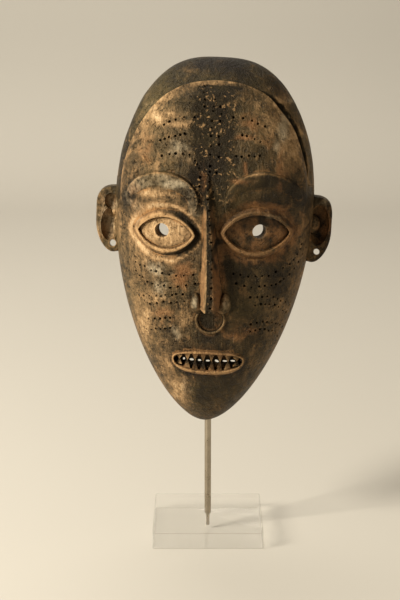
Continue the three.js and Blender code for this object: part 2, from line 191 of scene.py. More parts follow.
def proudAt(height):
    return facePlate["proud"] * smooth(facePlate["proudFrom"], facePlate["proudTo"], height)


def bump(x, height, middleX, middleHeight, reachX, reachHeight):
    return np.exp(-((x - middleX) / reachX) ** 2 - ((height - middleHeight) / reachHeight) ** 2)


# eyes and mouth: where they stand, and how they sink and swell the face round them
eyes = {
    "left": {
        "x": -39.2, "height": 183, "halfLength": 24, "halfRise": 15.5, "pupilX": -41.5, "pupilHeight": 184.5},
    "right": {
        "x": 39.5, "height": 186.5, "halfLength": 28, "halfRise": 18, "pupilX": 40.5, "pupilHeight": 188},
}
lid = {
    "thickness": 7.2, "rise": 4.8, "insetCorner": 1, "inset": 2.5, "ballRise": 2.6,
    "pupilRadius": 6.3, "pupilSplay": 1.3,
    "socketDepth": 7, "socketAcross": 29, "socketUp": 22, "socketAbove": 4,
}
mouth = {
    "x": 2, "height": 69, "halfLength": 30, "up": 6.8, "down": 9.6,
    "mound": 4, "moundAcross": 38, "moundUp": 22, "recess": 6.5, "upperLip": 3, "lowerLip": 5.6,
    "cornerLip": 2.2, "lipRise": 3.6,
}


def reliefAt(x, height):
    rise = mouth["mound"] * bump(
        x, height, mouth["x"], mouth["height"], mouth["moundAcross"], mouth["moundUp"])
    for eye in eyes.values():
        rise = rise - lid["socketDepth"] * bump(
            x, height, eye["x"], eye["height"] + lid["socketAbove"], lid["socketAcross"], lid["socketUp"])
    return rise


def faceAt(x, height):
    width = halfWidthAt(height) + proudAt(height)
    depth = head["frontDepth"] * depthShareAt(height) + proudAt(height)
    across = np.minimum(np.abs(x) / width, head["sideLimit"])
    return -depth * (1 - across ** head["section"]) ** (1 / head["section"]) - reliefAt(x, height)


def drape(places):
    # a piece drawn flat, X across, Y up and Z towards the viewer, is laid on the face
    x, up, lift = places.T
    return stack(x, faceAt(x, up) - lift, up)


def laid(bm, places, name):
    return solidFrom(moveVerts(bm, drape(places)), name)


def superPower(value):
    return np.sign(value) * np.abs(value) ** (2 / head["section"])


# the hairline, where the face plate ends and the cap begins
hairline = {
    "crown": 311, "crownY": -33, "middleY": -34.5, "temple": 225, "templeY": -28,
    "behindEar": 196, "overlap": 3, "plateFrom": 205, "grooveFrom": 212,
}


def hairlineY(height):
    # where the face plate's edge stands, seen from the side
    run = np.clip((height - hairline["temple"]) / (hairline["crown"] - hairline["temple"]), 0, 1)
    low, middle, high = hairline["templeY"], hairline["middleY"], hairline["crownY"]
    return low * (1 - run) ** 2 + 2 * middle * run * (1 - run) + high * run ** 2


def grooveWidth(x, height):
    # how far the groove reaches back from the face plate's edge
    width = mix(facePlate["grooveLeft"], facePlate["grooveRight"], smooth(15, 70, x))
    return width * smooth(hairline["temple"] - 8, 252, height)


def egg(around, rings, crowding, top, bottom, surface, name):
    # crowding draws more of the columns round to the front
    bm = ball(around, rings)
    x, y, z = placesOf(bm).T
    polar = np.arccos(np.clip(z, -1, 1)) / math.pi
    spin = np.arctan2(x, -y)
    pole = np.abs(z) > 1 - 1e-6
    spin = spin - crowding * np.sin(spin)
    side = np.where(pole, 0, np.sin(spin))
    front = np.where(pole, 0, np.cos(spin))
    upper = polar < 0.5
    run = 1 - np.cos(math.pi * np.where(upper, polar, 1 - polar))
    widest = head["widestAt"]
    height = np.where(upper, top - (top - widest) * run, bottom + (widest - bottom) * run)
    return solidFrom(moveVerts(bm, surface(side, front, height)), name)


def capSurface(side, front, height):
    depth = np.where(front > 0, -head["frontDepth"], -head["backDepth"])
    places = stack(
        halfWidthAt(height) * superPower(side), depth * depthShareAt(height) * superPower(front), height)
    dents = 0.4 * waves(places, 46, 3) + 0.15 * waves(places, 17, 4)
    places[:, :2] *= (1 + dents / 75)[:, None]
    return places


def faceSurface(side, front, height):
    fade = smooth(facePlate["fadeFrom"], facePlate["fadeTo"], front)
    backwards = -head["backDepth"] * depthShareAt(height) * superPower(front)
    plainY = np.where(front > 0, -head["frontDepth"] * depthShareAt(height) * superPower(front), backwards)
    fromEdge = hairlineY(height) - plainY
    worn = facePlate["wornDrop"] * (1 - smooth(0, facePlate["wornEdge"], fromEdge))
    worn = worn * (height > hairline["behindEar"])
    proud = np.maximum(proudAt(height) * fade - worn * fade, 0)
    x = (halfWidthAt(height) + proud) * superPower(side)
    depth = head["frontDepth"] * depthShareAt(height) + proud
    facing = smooth(0, facePlate["reliefFrom"], front)
    forwards = -depth * superPower(front) - facing * reliefAt(x, height)
    places = stack(x, np.where(front > 0, forwards, backwards), height)
    carved = 0.42 * waves(places, 34, 5) + 0.16 * waves(places, 13, 6)
    places[:, 1] -= carved * smooth(0.1, 0.6, front)
    return places


def hollowSurface(side, front, height):
    top, bottom = head["height"] - head["wall"], head["chinWall"]
    low = (height - bottom) * head["widestAt"] / (head["widestAt"] - bottom)
    high = head["widestAt"] + (height - head["widestAt"]) * (
        (head["height"] - head["widestAt"]) / (top - head["widestAt"]))
    onHead = np.where(height <= head["widestAt"], low, high)
    depth = np.where(front > 0, -(head["frontDepth"] - head["wall"]), -(head["backDepth"] + head["wall"]))
    width = (head["halfWidth"] - head["wall"]) / head["halfWidth"]
    x = width * halfWidthAt(onHead) * superPower(side)
    y = depth * depthShareAt(onHead) * superPower(front)
    places = stack(x, y, height)
    # adze marks: long scallops down the inside
    lane = np.arctan2(x, -y) * 9 + 0.5 * waves(places, 60, 11)
    stroke = height / 21 + 1.7 * np.floor(lane) + 0.4 * waves(places, 50, 12)
    scallop = np.abs(np.sin(math.pi * lane)) * 0.7 + np.abs(np.sin(math.pi * stroke)) * 0.5
    inwards = (1 - (1 - scallop) * 0.009)[:, None]
    return places * inwards * np.array([1, 1, 0]) + np.array([0, 0, 1]) * places


def frontOfHairline(setBack, grooved, name):
    # everything in front of the hairline: its side profile as a sheet across the head, drawn out forwards
    bm = bmesh.new()
    columns, rows = 96, 60
    bmesh.ops.create_grid(bm, x_segments=columns, y_segments=rows, size=1)
    u, run, _ = placesOf(bm).T
    x = farAway * np.sign(u) * np.abs(u) ** 1.4
    run = (run + 1) / 2
    height = np.interp(run, [0, 0.05, 0.1, 0.95, 1], [
        -farAway, hairline["behindEar"], hairline["temple"], hairline["crown"] + 12,
        head["height"] + farAway])
    y = np.interp(run, [0, 0.05, 0.1], [farAway, farAway, hairline["templeY"]])
    y = np.where(run > 0.1, hairlineY(height), y)
    places = stack(x, y, height)
    wobble = 0.45 * waves(places, 30, 8) * smooth(hairline["temple"], hairline["temple"] + 20, height)
    places[:, 1] += wobble - setBack + (grooveWidth(x, height) if grooved else 0)
    places[:, 2] -= setBack
    moveVerts(bm, places)
    drawOut(bm, bm.faces[:], (0, -2 * farAway, 0))
    return solidFrom(bm, name)


# the carved features: bands round the eyes and the mouth
def almond(angle, halfLength, up, down):
    lift = np.sin(angle)
    rise = np.where(lift > 0, up, down) * np.sign(lift) * np.abs(lift) ** 1.5
    return halfLength * np.cos(angle), rise


def mouthOutline(angle, halfLength, up, down):
    # flatter above and blunt at the corners
    across, lift = np.cos(angle), np.sin(angle)
    rise = np.where(lift > 0, up, down) * np.sign(lift) * np.abs(lift) ** 0.85
    return halfLength * np.sign(across) * np.abs(across) ** 0.8, rise


def hoop(steps, sides, tube):
    bm = bmesh.new()
    bmesh.ops.create_circle(bm, cap_ends=False, segments=sides, radius=tube)
    bmesh.ops.rotate(bm, matrix=Matrix.Rotation(math.pi / 2, 3, "X"), verts=bm.verts)
    bmesh.ops.translate(bm, vec=(1, 0, 0), verts=bm.verts)
    bmesh.ops.spin(bm, geom=bm.verts[:] + bm.edges[:], axis=(0, 0, 1), cent=(0, 0, 0), steps=steps,
                   angle=2 * math.pi, use_merge=True)
    return bm


def rimBand(outline, centre, inner, thickness, profile, name):
    # a raised band round an opening; half runs from 0 at its inner edge to 1 at its outer edge
    tube = 0.25
    bm = hoop(112, 18, tube)
    x, y, z = placesOf(bm).T
    half = ((np.hypot(x, y) - 1) / tube + 1) / 2
    acrossX, upY = outline(
        np.arctan2(y, x), inner[0] + thickness[0] * half, inner[1] + thickness[1] * half,
        inner[2] + thickness[2] * half)
    lift = np.where(z > 0, profile(half), z / tube * sunk)
    places = stack(centre["x"] + acrossX, centre["height"] + upY, lift)
    return laid(bm, places, name)


def lidProfile(half):
    return lid["rise"] * smooth(-0.02, 0.12, half) * (1 - smooth(0.42, 1.05, half))


def lipProfile(half):
    return mouth["lipRise"] * smooth(-0.02, 0.2, half) * (1 - smooth(0.55, 1.02, half))


def eyeSolids(name, eye):
    opening = eye["halfRise"] - lid["inset"]
    inner = (eye["halfLength"] - lid["insetCorner"], opening, opening)
    around = (lid["thickness"] * 0.8, lid["thickness"], lid["thickness"])
    rim = rimBand(almond, eye, inner, around, lidProfile, name + "Lid")
    lens = ball(56, 28)
    places = placesOf(lens) * (eye["halfLength"], eye["halfRise"], lid["ballRise"])
    places += (eye["x"], eye["height"], 0)
    return [rim, laid(lens, places, name + "Lens")]


def lipBand():
    inner = (mouth["halfLength"], mouth["up"], mouth["down"])
    around = (mouth["cornerLip"], mouth["upperLip"], mouth["lowerLip"])
    return rimBand(mouthOutline, mouth, inner, around, lipProfile, "lips")


def curvePoint(path, run):
    # a Bezier curve through its control points, with its direction
    points = [np.array(point, dtype=float)[:, None] for point in path]
    while len(points) > 1:
        direction = points[-1] - points[0]
        points = [mix(a, b, run) for a, b in zip(points, points[1:])]
    return points[0], direction / np.maximum(np.hypot(*direction), 1e-6)


# the brows, each along a curve drawn from left to right
brows = {
    "left": {"path": [(-73, 208), (-68, 239), (-9, 236), (-15.5, 203)], "halfThickness": 7.6, "rise": 3.8},
    "right": {"path": [(13.5, 203), (12.5, 245), (68, 237), (75.5, 214)], "halfThickness": 7.6, "rise": 3.4},
}


def browProfile(across):
    # a crisp step at the upper edge and a slow fall towards the eye
    return (1 - smooth(0.74, 1.0, across)) * np.clip((across + 1) / 1.75, 0, 1) ** 0.85


def browSolid(name, brow):
    # a raised form that tapers at both ends, along a flat curve
    bm = ball(28, 72)
    x, y, z = placesOf(bm).T
    run = np.arccos(np.clip(-z, -1, 1)) / math.pi
    pole = np.abs(z) > 1 - 1e-6
    spin = np.arctan2(y, x)
    middle, direction = curvePoint(brow["path"], run)
    taper = np.maximum(np.sin(math.pi * run), 0) ** 0.5
    across = np.where(pole, 0, np.cos(spin))
    up = np.where(pole, 0, np.sin(spin))
    lift = np.where(up > 0, brow["rise"] * browProfile(across) * taper, up * sunk * taper)
    lift = np.where(pole, 0, lift)
    places = stack(
        middle[0] - direction[1] * across * brow["halfThickness"] * taper,
        middle[1] + direction[0] * across * brow["halfThickness"] * taper, lift)
    return laid(bm, places, name + "Brow")


# the nose: a wedge with a flat front strip between two bevels
nose = {
    "top": 250, "tip": 118.5, "topX": -6, "tipX": 2, "leanRate": 1.2,
    "topHalf": 2.2, "tipHalf": 11, "widening": 1.4, "topRise": 0.2, "tipRise": 24, "rising": 1.5,
    "strip": 0.30, "bevel": 0.46, "shoulder": 0.84, "footDepth": 8,
}


def noseLift(across):
    side = np.abs(across)
    facet = nose["shoulder"] * np.clip((1 - side) / (1 - nose["bevel"]), 0, 1) ** 1.12
    front = mix(1, nose["shoulder"], np.clip((side - nose["strip"]) / (nose["bevel"] - nose["strip"]), 0, 1))
    return np.where(side < nose["bevel"], front, facet)


def noseSolid():
    bm = bmesh.new()
    rows, topCount, footCount = 88, 33, 7
    sides = topCount + footCount
    bmesh.ops.create_circle(bm, cap_ends=False, segments=sides, radius=1)
    edges = bm.edges[:]
    for _ in range(rows):
        drawn = bmesh.ops.extrude_edge_only(bm, edges=edges)
        edges = [item for item in drawn["geom"] if isinstance(item, bmesh.types.BMEdge)]
        bmesh.ops.translate(bm, vec=(0, 0, 1), verts=newVerts(drawn))
    x, y, z = placesOf(bm).T
    run = z / rows
    slot = np.round(np.arctan2(y, x) / (2 * math.pi) * sides) % sides
    footSlot = slot - topCount + 1
    across = np.where(slot < topCount, -1 + 2 * slot / (topCount - 1), 1 - 2 * footSlot / (footCount + 1))
    height = mix(nose["top"], nose["tip"], run)
    half = mix(nose["topHalf"], nose["tipHalf"], run ** nose["widening"])
    rise = mix(nose["topRise"], nose["tipRise"], run ** nose["rising"])
    middle = mix(nose["topX"], nose["tipX"], np.minimum(run * nose["leanRate"], 1))
    lift = np.where(slot < topCount, rise * noseLift(across), -0.3 * nose["footDepth"])
    # the front strip dips a little between its two edges, and the tip is rounded under
    lift = lift - 0.5 * (1 - smooth(0, nose["strip"], np.abs(across))) * smooth(0.1, 0.4, run)
    lift = lift - 3.2 * smooth(0.955, 1, run) * (lift > 0)
    wander = 0.35 * np.sin(height / 9) + 0.2 * np.sin(height / 4.1 + 1)
    x = middle + across * half + wander * smooth(0, 0.3, run)
    moveVerts(bm, stack(x, faceAt(x, height) - lift, height))
    bmesh.ops.holes_fill(bm, edges=bm.edges, sides=0)
    return solidFrom(bm, "noseWedge")


# the wings of the nose
wings = {
    "left": {"x": -9.8, "height": 122.5, "halfWidth": 5.5, "halfHeight": 9.5, "rise": 7.5},
    "right": {"x": 13.8, "height": 123, "halfWidth": 6.4, "halfHeight": 9.6, "rise": 7.5},
}


def wingSolid(name, wing):
    bm = ball(36, 28)
    x, y, z = placesOf(bm).T
    lean = -1 if name == "left" else 1
    x = x * (1 - 0.22 * y) + 0.12 * lean * y
    places = stack(
        wing["x"] + x * wing["halfWidth"], wing["height"] + y * wing["halfHeight"], z * wing["rise"])
    return laid(bm, places, name + "Wing")


# the ring in low relief under the nose, round a sunken field
ring = {
    "x": 2.8, "height": 107.5, "radius": 12.2, "wire": 1.15, "stretch": 1.35, "lift": 0.2, "fieldDepth": 0.9,
}


def ringSolids():
    bm = hoop(96, 12, ring["wire"] / ring["radius"])
    places = placesOf(bm) * (ring["radius"], ring["radius"], ring["radius"] * ring["stretch"])
    places += (ring["x"], ring["height"], ring["lift"])
    rim = laid(bm, places, "ringRim")
    bm = cylinder(ring["radius"], ring["radius"], 64)
    bmesh.ops.poke(bm, faces=[face for face in bm.faces if len(face.verts) > 4])
    inner = [edge for edge in bm.edges if min(vert.co.xy.length for vert in edge.verts) < 0.1]
    bmesh.ops.subdivide_edges(bm, edges=inner, cuts=4, use_grid_fill=True)
    places = placesOf(bm) + (ring["x"], ring["height"], ring["radius"] / 2 - ring["fieldDepth"])
    return rim, laid(bm, places, "ringField")


def mouthRecess():
    bm = cylinder(1, 2, 88)
    bmesh.ops.poke(bm, faces=[face for face in bm.faces if len(face.verts) > 4])
    x, y, z = placesOf(bm).T
    rim = np.hypot(x, y) > 0.5
    acrossX, upY = mouthOutline(np.arctan2(y, x), mouth["halfLength"], mouth["up"], mouth["down"])
    floor = mouth["lipRise"] - mouth["recess"] - sunk
    lift = np.where(z > 0, mouth["halfLength"], floor)
    places = stack(mouth["x"] + acrossX * rim, mouth["height"] + upY * rim, lift)
    return laid(bm, places, "mouthRecess")


# the teeth, and the slits between their tips
teeth = {
    "pairs": 8, "spacing": 7.2, "halfWidth": 2.9, "depth": 4.6, "rooted": 2, "tipPast": 0.6, "arc": 0.75,
    "forward": 1.8, "upperForward": 1.3, "edge": 0.45,
}
slit = {"height": 1.9, "halfLength": 1.9, "slopeDegrees": 15, "frontReach": 10, "backReach": 10}


def mouthSlits():
    # small slanting gaps between the tips, which run down and back through the wall
    chance = random.Random(17)
    gaps = []
    for gap in range(teeth["pairs"]):
        x = mouth["x"] + (gap - teeth["pairs"] / 2 + 1) * teeth["spacing"] + chance.uniform(-0.5, 0.5)
        bm = cylinder(1, 2, 12)
        across, up, along = placesOf(bm).T
        half = slit["halfLength"] * (0.6 if gap in (0, teeth["pairs"] - 1) else chance.uniform(0.85, 1.15))
        tall = slit["height"] / 2 * chance.uniform(0.75, 1.2)
        up = up * tall + across * chance.uniform(-0.45, 0.25)
        surface = float(faceAt(x, mouth["height"]))
        y = np.where(along > 0, slit["backReach"], surface - slit["frontReach"])
        height = mouth["height"] + up - (y - surface) * math.tan(math.radians(slit["slopeDegrees"]))
        gaps.append(solidFrom(moveVerts(bm, stack(x + across * half, y, height)), "mouthSlit"))
    return gaps


def toothSolids():
    # filed points from both lips, no two quite alike
    chance = random.Random(21)
    solids = []
    for pair in range(teeth["pairs"]):
        place = mouth["x"] + (pair - (teeth["pairs"] - 1) / 2) * teeth["spacing"]
        reach = (place - mouth["x"]) / mouth["halfLength"]
        opening = (1 - reach * reach) ** teeth["arc"]
        for way in (1, -1):
            length = mouth["up" if way > 0 else "down"] * opening + teeth["rooted"]
            bm = bmesh.new()
            bmesh.ops.create_cone(bm, cap_ends=True, segments=4, radius1=teeth["halfWidth"] * math.sqrt(2),
                                  radius2=0.25, depth=length)
            bmesh.ops.rotate(bm, matrix=Matrix.Rotation(math.pi / 4, 3, "Z"), verts=bm.verts)
            flanks = [edge for edge in bm.edges if abs(edge.verts[0].co.z - edge.verts[1].co.z) > 1]
            bevel(bm, flanks, teeth["edge"], 2, clamp=True)
            x, front, along = placesOf(bm).T
            turned = 0.22 * (1 - way * 0.2) + chance.uniform(-0.06, 0.06)
            tip = 0.5 + along / length
            up = mouth["height"] + way * (length / 2 - teeth["tipPast"] - along)
            lean = chance.uniform(-0.5, 0.5)
            x = place + x + lean * tip + turned * front * 0.6
            lift = -front * teeth["depth"] / (2 * teeth["halfWidth"]) - mouth["recess"] / 2 + teeth["forward"]
            lift = lift + (teeth["upperForward"] if way > 0 else 0)
            solids.append(laid(bm, stack(x, up, lift), "tooth"))
    return solids


# the ears: one flange for both, with bowls and knobs of their own
ear = {
    "rootX": 76, "outerX": 104, "top": 212.5, "bottom": 153.5, "frontY": -9, "backY": 5, "bevel": 2.2,
    "corner": 16, "lobeLift": 14, "lobeEnd": 28, "lobeSlope": 0.19,
}
# bowls and knobs: distance out, height, half width, half height, depth; holes: distance out, height, radius
ears = {
    "left": {"side": -1, "bowls": [(90.5, 199.5, 6.2, 7.4, 5.5), (91.6, 178.5, 8.0, 14.8, 7.0)],
             "knobs": [(85.5, 190.5, 4.6, 4.4, 4.6), (84, 176, 4.5, 14, 3.0)], "hole": (88.5, 161.8, 3.0)},
    "right": {"side": 1, "bowls": [(92.5, 187.5, 9.2, 18.0, 7.0)],
              "knobs": [(86.5, 187.5, 7.4, 8.4, 5.6)], "hole": (92, 163.5, 2.7)},
}


def earSolid(name, shape):
    side = shape["side"]
    top, bottom, outerX, corner = ear["top"], ear["bottom"], ear["outerX"], ear["corner"]
    lobe = [(outerX - corner, bottom), (outerX - corner / 2, bottom), (outerX, bottom + ear["lobeLift"]),
            (outerX, bottom + ear["lobeEnd"])]
    helix = [(outerX, top - corner), (outerX, top), (outerX - corner, top)]
    outline = [(ear["rootX"], bottom + ear["bevel"])]
    steps = np.linspace(0, 1, 15)
    for path in (lobe, helix):
        places, _ = curvePoint(path, steps)
        outline += list(zip(*places))
    outline.append((ear["rootX"], top))
    bm = bmesh.new()
    verts = [bm.verts.new((side * x, ear["backY"], z)) for x, z in outline]
    back = bm.faces.new(verts)
    drawOut(bm, [back], (0, ear["frontY"] - ear["backY"], 0))
    rims = [edge for edge in bm.edges if abs(edge.verts[0].co.y - edge.verts[1].co.y) < 0.01]
    bevel(bm, rims, ear["bevel"], 4)
    flange = solidFrom(bm, name + "Ear")
    for operation, ovals in (("DIFFERENCE", shape["bowls"]), ("UNION", shape["knobs"])):
        tools = []
        for outwards, height, half, tall, deep in ovals:
            oval = ball(44, 26)
            bmesh.ops.scale(oval, vec=(half, deep, tall), verts=oval.verts)
            level = ear["frontY"] if operation == "DIFFERENCE" else ear["frontY"] + deep * 0.75
            bmesh.ops.translate(oval, vec=(side * outwards, level, height), verts=oval.verts)
            tools.append(solidFrom(oval, "oval"))
        combine(flange, tools, operation)
    outwards, height, radius = shape["hole"]
    axis = Vector((side * 0.05, 1, -ear["lobeSlope"])).to_track_quat("Z", "Y").to_matrix().to_4x4()
    hole = cylinder(radius, 60, 32, Matrix.Translation((side * outwards, ear["frontY"], height)) @ axis)
    return combine(flange, [solidFrom(hole, "lobeHole")], "DIFFERENCE")


def pupilBore(eye):
    x, height = eye["pupilX"], eye["pupilHeight"]
    slopeX = lid["pupilSplay"] * float(faceAt(x + 1, height) - faceAt(x - 1, height)) / 2
    slopeUp = float(faceAt(x, height + 1) - faceAt(x, height - 1)) / 2
    turn = Vector((slopeX, -1, slopeUp)).normalized().to_track_quat("Z", "Y").to_matrix().to_4x4()
    place = Matrix.Translation((x, float(faceAt(x, height)), height))
    return solidFrom(cylinder(lid["pupilRadius"], 4 * head["wall"], 40, place @ turn), "pupilBore")


# the pricked rows: how many, and the start, middle and end of each row on the face
pricks = {"radius": 1.3, "depth": 2.6, "foot": 0.35, "rim": 1.5, "wander": 0.45, "seed": 4}
prickRows = [
    (5, (-44.1, 274.3), (-34.5, 279.7), (-18.8, 283.2)),
    (6, (-46.3, 261.1), (-36.8, 266.0), (-25.2, 268.9)),
    (5, (-44.6, 248.9), (-32.2, 252.1), (-20.3, 251.3)),
    (6, (-16.0, 247.5), (-11.9, 238.0), (-11.7, 216.0)),
    (4, (-11.5, 307.1), (-10.9, 299.3), (-10.3, 291.4)),
    (9, (-2.3, 297.4), (-3.5, 274.2), (-3.4, 244.0)),
    (6, (-3.4, 239.5), (-3.8, 228.4), (-2.2, 206.2)),
    (3, (3.1, 292.1), (3.5, 286.5), (3.9, 281.0)),
    (5, (3.0, 268.1), (3.6, 252.0), (1.5, 222.0)),
    (5, (14.8, 284.3), (29.3, 281.8), (41.3, 276.8)),
    (4, (22.2, 269.6), (30.1, 268.2), (39.0, 264.5)),
    (5, (18.5, 252.7), (29.3, 252.7), (38.8, 252.8)),
    (11, (-0.6, 200.0), (2.2, 165.0), (3.4, 124.0)),
    (10, (-64.9, 153.6), (-43.0, 146.5), (-14.4, 147.7)),
    (11, (-64.7, 144.4), (-43.8, 134.9), (-11.7, 139.8)),
    (8, (-56.3, 122.2), (-39.1, 126.3), (-22.3, 128.9)),
    (6, (-50.4, 116.8), (-35.4, 120.3), (-20.8, 122.9)),
    (5, (-51.3, 101.4), (-41.3, 104.2), (-32.4, 106.1)),
    (6, (-53.7, 90.5), (-42.9, 94.2), (-33.0, 96.4)),
    (9, (21.0, 150.9), (45.5, 148.2), (69.1, 156.9)),
    (4, (71.2, 160.5), (75.6, 167.4), (78.7, 174.3)),
    (9, (23.4, 140.7), (48.8, 138.8), (65.2, 143.3)),
    (5, (69.0, 147.0), (76.8, 157.8), (82.3, 169.8)),
    (10, (36.5, 128.6), (58.3, 127.2), (73.4, 113.4)),
    (9, (41.1, 122.2), (57.9, 119.9), (70.6, 105.9)),
    (8, (37.0, 104.1), (54.6, 104.2), (65.3, 95.7)),
    (8, (38.0, 96.2), (52.3, 97.6), (62.2, 88.3)),
]


def prickCutters(body):
    tree = BVHTree.FromObject(body, bpy.context.evaluated_depsgraph_get())
    chance = random.Random(pricks["seed"])
    bm = bmesh.new()
    for count, start, through, end in prickRows:
        control = [2 * through[axis] - (start[axis] + end[axis]) / 2 for axis in (0, 1)]
        places, _ = curvePoint([start, control, end], np.linspace(0, 1, count))
        for x, height in zip(*places):
            x += chance.gauss(0, pricks["wander"])
            height += chance.gauss(0, pricks["wander"])
            spot, normal, _, _ = tree.ray_cast(Vector((x, -farAway, height)), Vector((0, 1, 0)))
            turn = normal.to_track_quat("Z", "Y").to_matrix().to_4x4()
            radius = pricks["radius"] * chance.uniform(0.8, 1.2)
            matrix = Matrix.Translation(spot) @ turn @ Matrix.Rotation(chance.uniform(0, 1), 4, "Z")
            bmesh.ops.create_cone(bm, cap_ends=True, segments=8, radius1=radius * pricks["foot"],
                                  radius2=radius * pricks["rim"], depth=2 * pricks["depth"], matrix=matrix)
    return solidFrom(bm, "pricks")


def shapeMask():
    cap = egg(120, 88, 0.2, head["height"], 0, capSurface, "cap")
    core = egg(60, 44, 0.2, head["height"], 0, capSurface, "core")
    level = 1 - facePlate["grooveDepth"] / head["halfWidth"]
    upright = 1 - facePlate["grooveDepth"] / (head["height"] - head["widestAt"])
    for vert in core.data.vertices:
        above = max(vert.co.z - head["widestAt"], 0)
        vert.co = (vert.co.x * level, vert.co.y * level, vert.co.z - above * (1 - upright))
    groove = frontOfHairline(0, True, "groove")
    combine(groove, [core], "DIFFERENCE")
    combine(cap, [frontOfHairline(hairline["overlap"], False, "capEnd"), groove], "DIFFERENCE")
    print("cap shaped")
    body = egg(250, 196, 0.35, head["height"], 0, faceSurface, "body")
    combine(body, [frontOfHairline(0, False, "faceEnd")], "INTERSECT")
    rim, field = ringSolids()
    combine(body, [cap], "UNION")
    combine(body, [field], "DIFFERENCE")
    parts = [rim, noseSolid(), lipBand()]
    for name, brow in brows.items():
        parts.append(browSolid(name, brow))
    for name, wing in wings.items():
        parts.append(wingSolid(name, wing))
    for name, eye in eyes.items():
        parts += eyeSolids(name, eye)
    for name, shape in ears.items():
        parts.append(earSolid(name, shape))
    combine(body, parts, "UNION")
    print("features joined")
    hollow = egg(130, 96, 0.2, head["height"] - head["wall"], head["chinWall"], hollowSurface, "hollow")
    corner = (farAway, farAway, 2 * farAway)
    overChin = boxSolid((-farAway, -farAway, head["hollowFloor"]), corner, "overChin")
    combine(hollow, [overChin], "INTERSECT")
    combine(body, [hollow, mouthRecess()] + mouthSlits(), "DIFFERENCE")
    combine(body, toothSolids(), "UNION")
    cutters = [pupilBore(eye) for eye in eyes.values()]
    cutters.append(prickCutters(body))
    cutters.append(boxSolid((-farAway, head["backPlane"], -farAway), corner, "behind"))
    combine(body, cutters, "DIFFERENCE")
    print("hollow, mouth, pupils and pricks cut")
    return body


# how the mask stands over the block: sideways lean and turn are in degrees
stance = {"chinHeight": 106.6, "besideRod": -3, "leanDegrees": 2.5, "turnDegrees": -3}


def standingMatrix():
    return (Matrix.Translation((stance["besideRod"], 0, stance["chinHeight"]))
            @ Matrix.Rotation(math.radians(stance["turnDegrees"]), 4, "Z")
            @ Matrix.Rotation(math.radians(stance["leanDegrees"]), 4, "Y"))


def finishSolid(solid, name, body, node, sharpDegrees=38):
    # millimetres become metres, and the piece takes its place on the frame
    solid.name = name
    solid.data.name = name
    solid.data.transform(Matrix.Scale(0.001, 4))
    solid.data.shade_smooth()
    solid.data.set_sharp_from_angle(angle=math.radians(sharpDegrees))
    solid.data.materials.clear()
    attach(solid, body)
    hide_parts(node)
    return solid


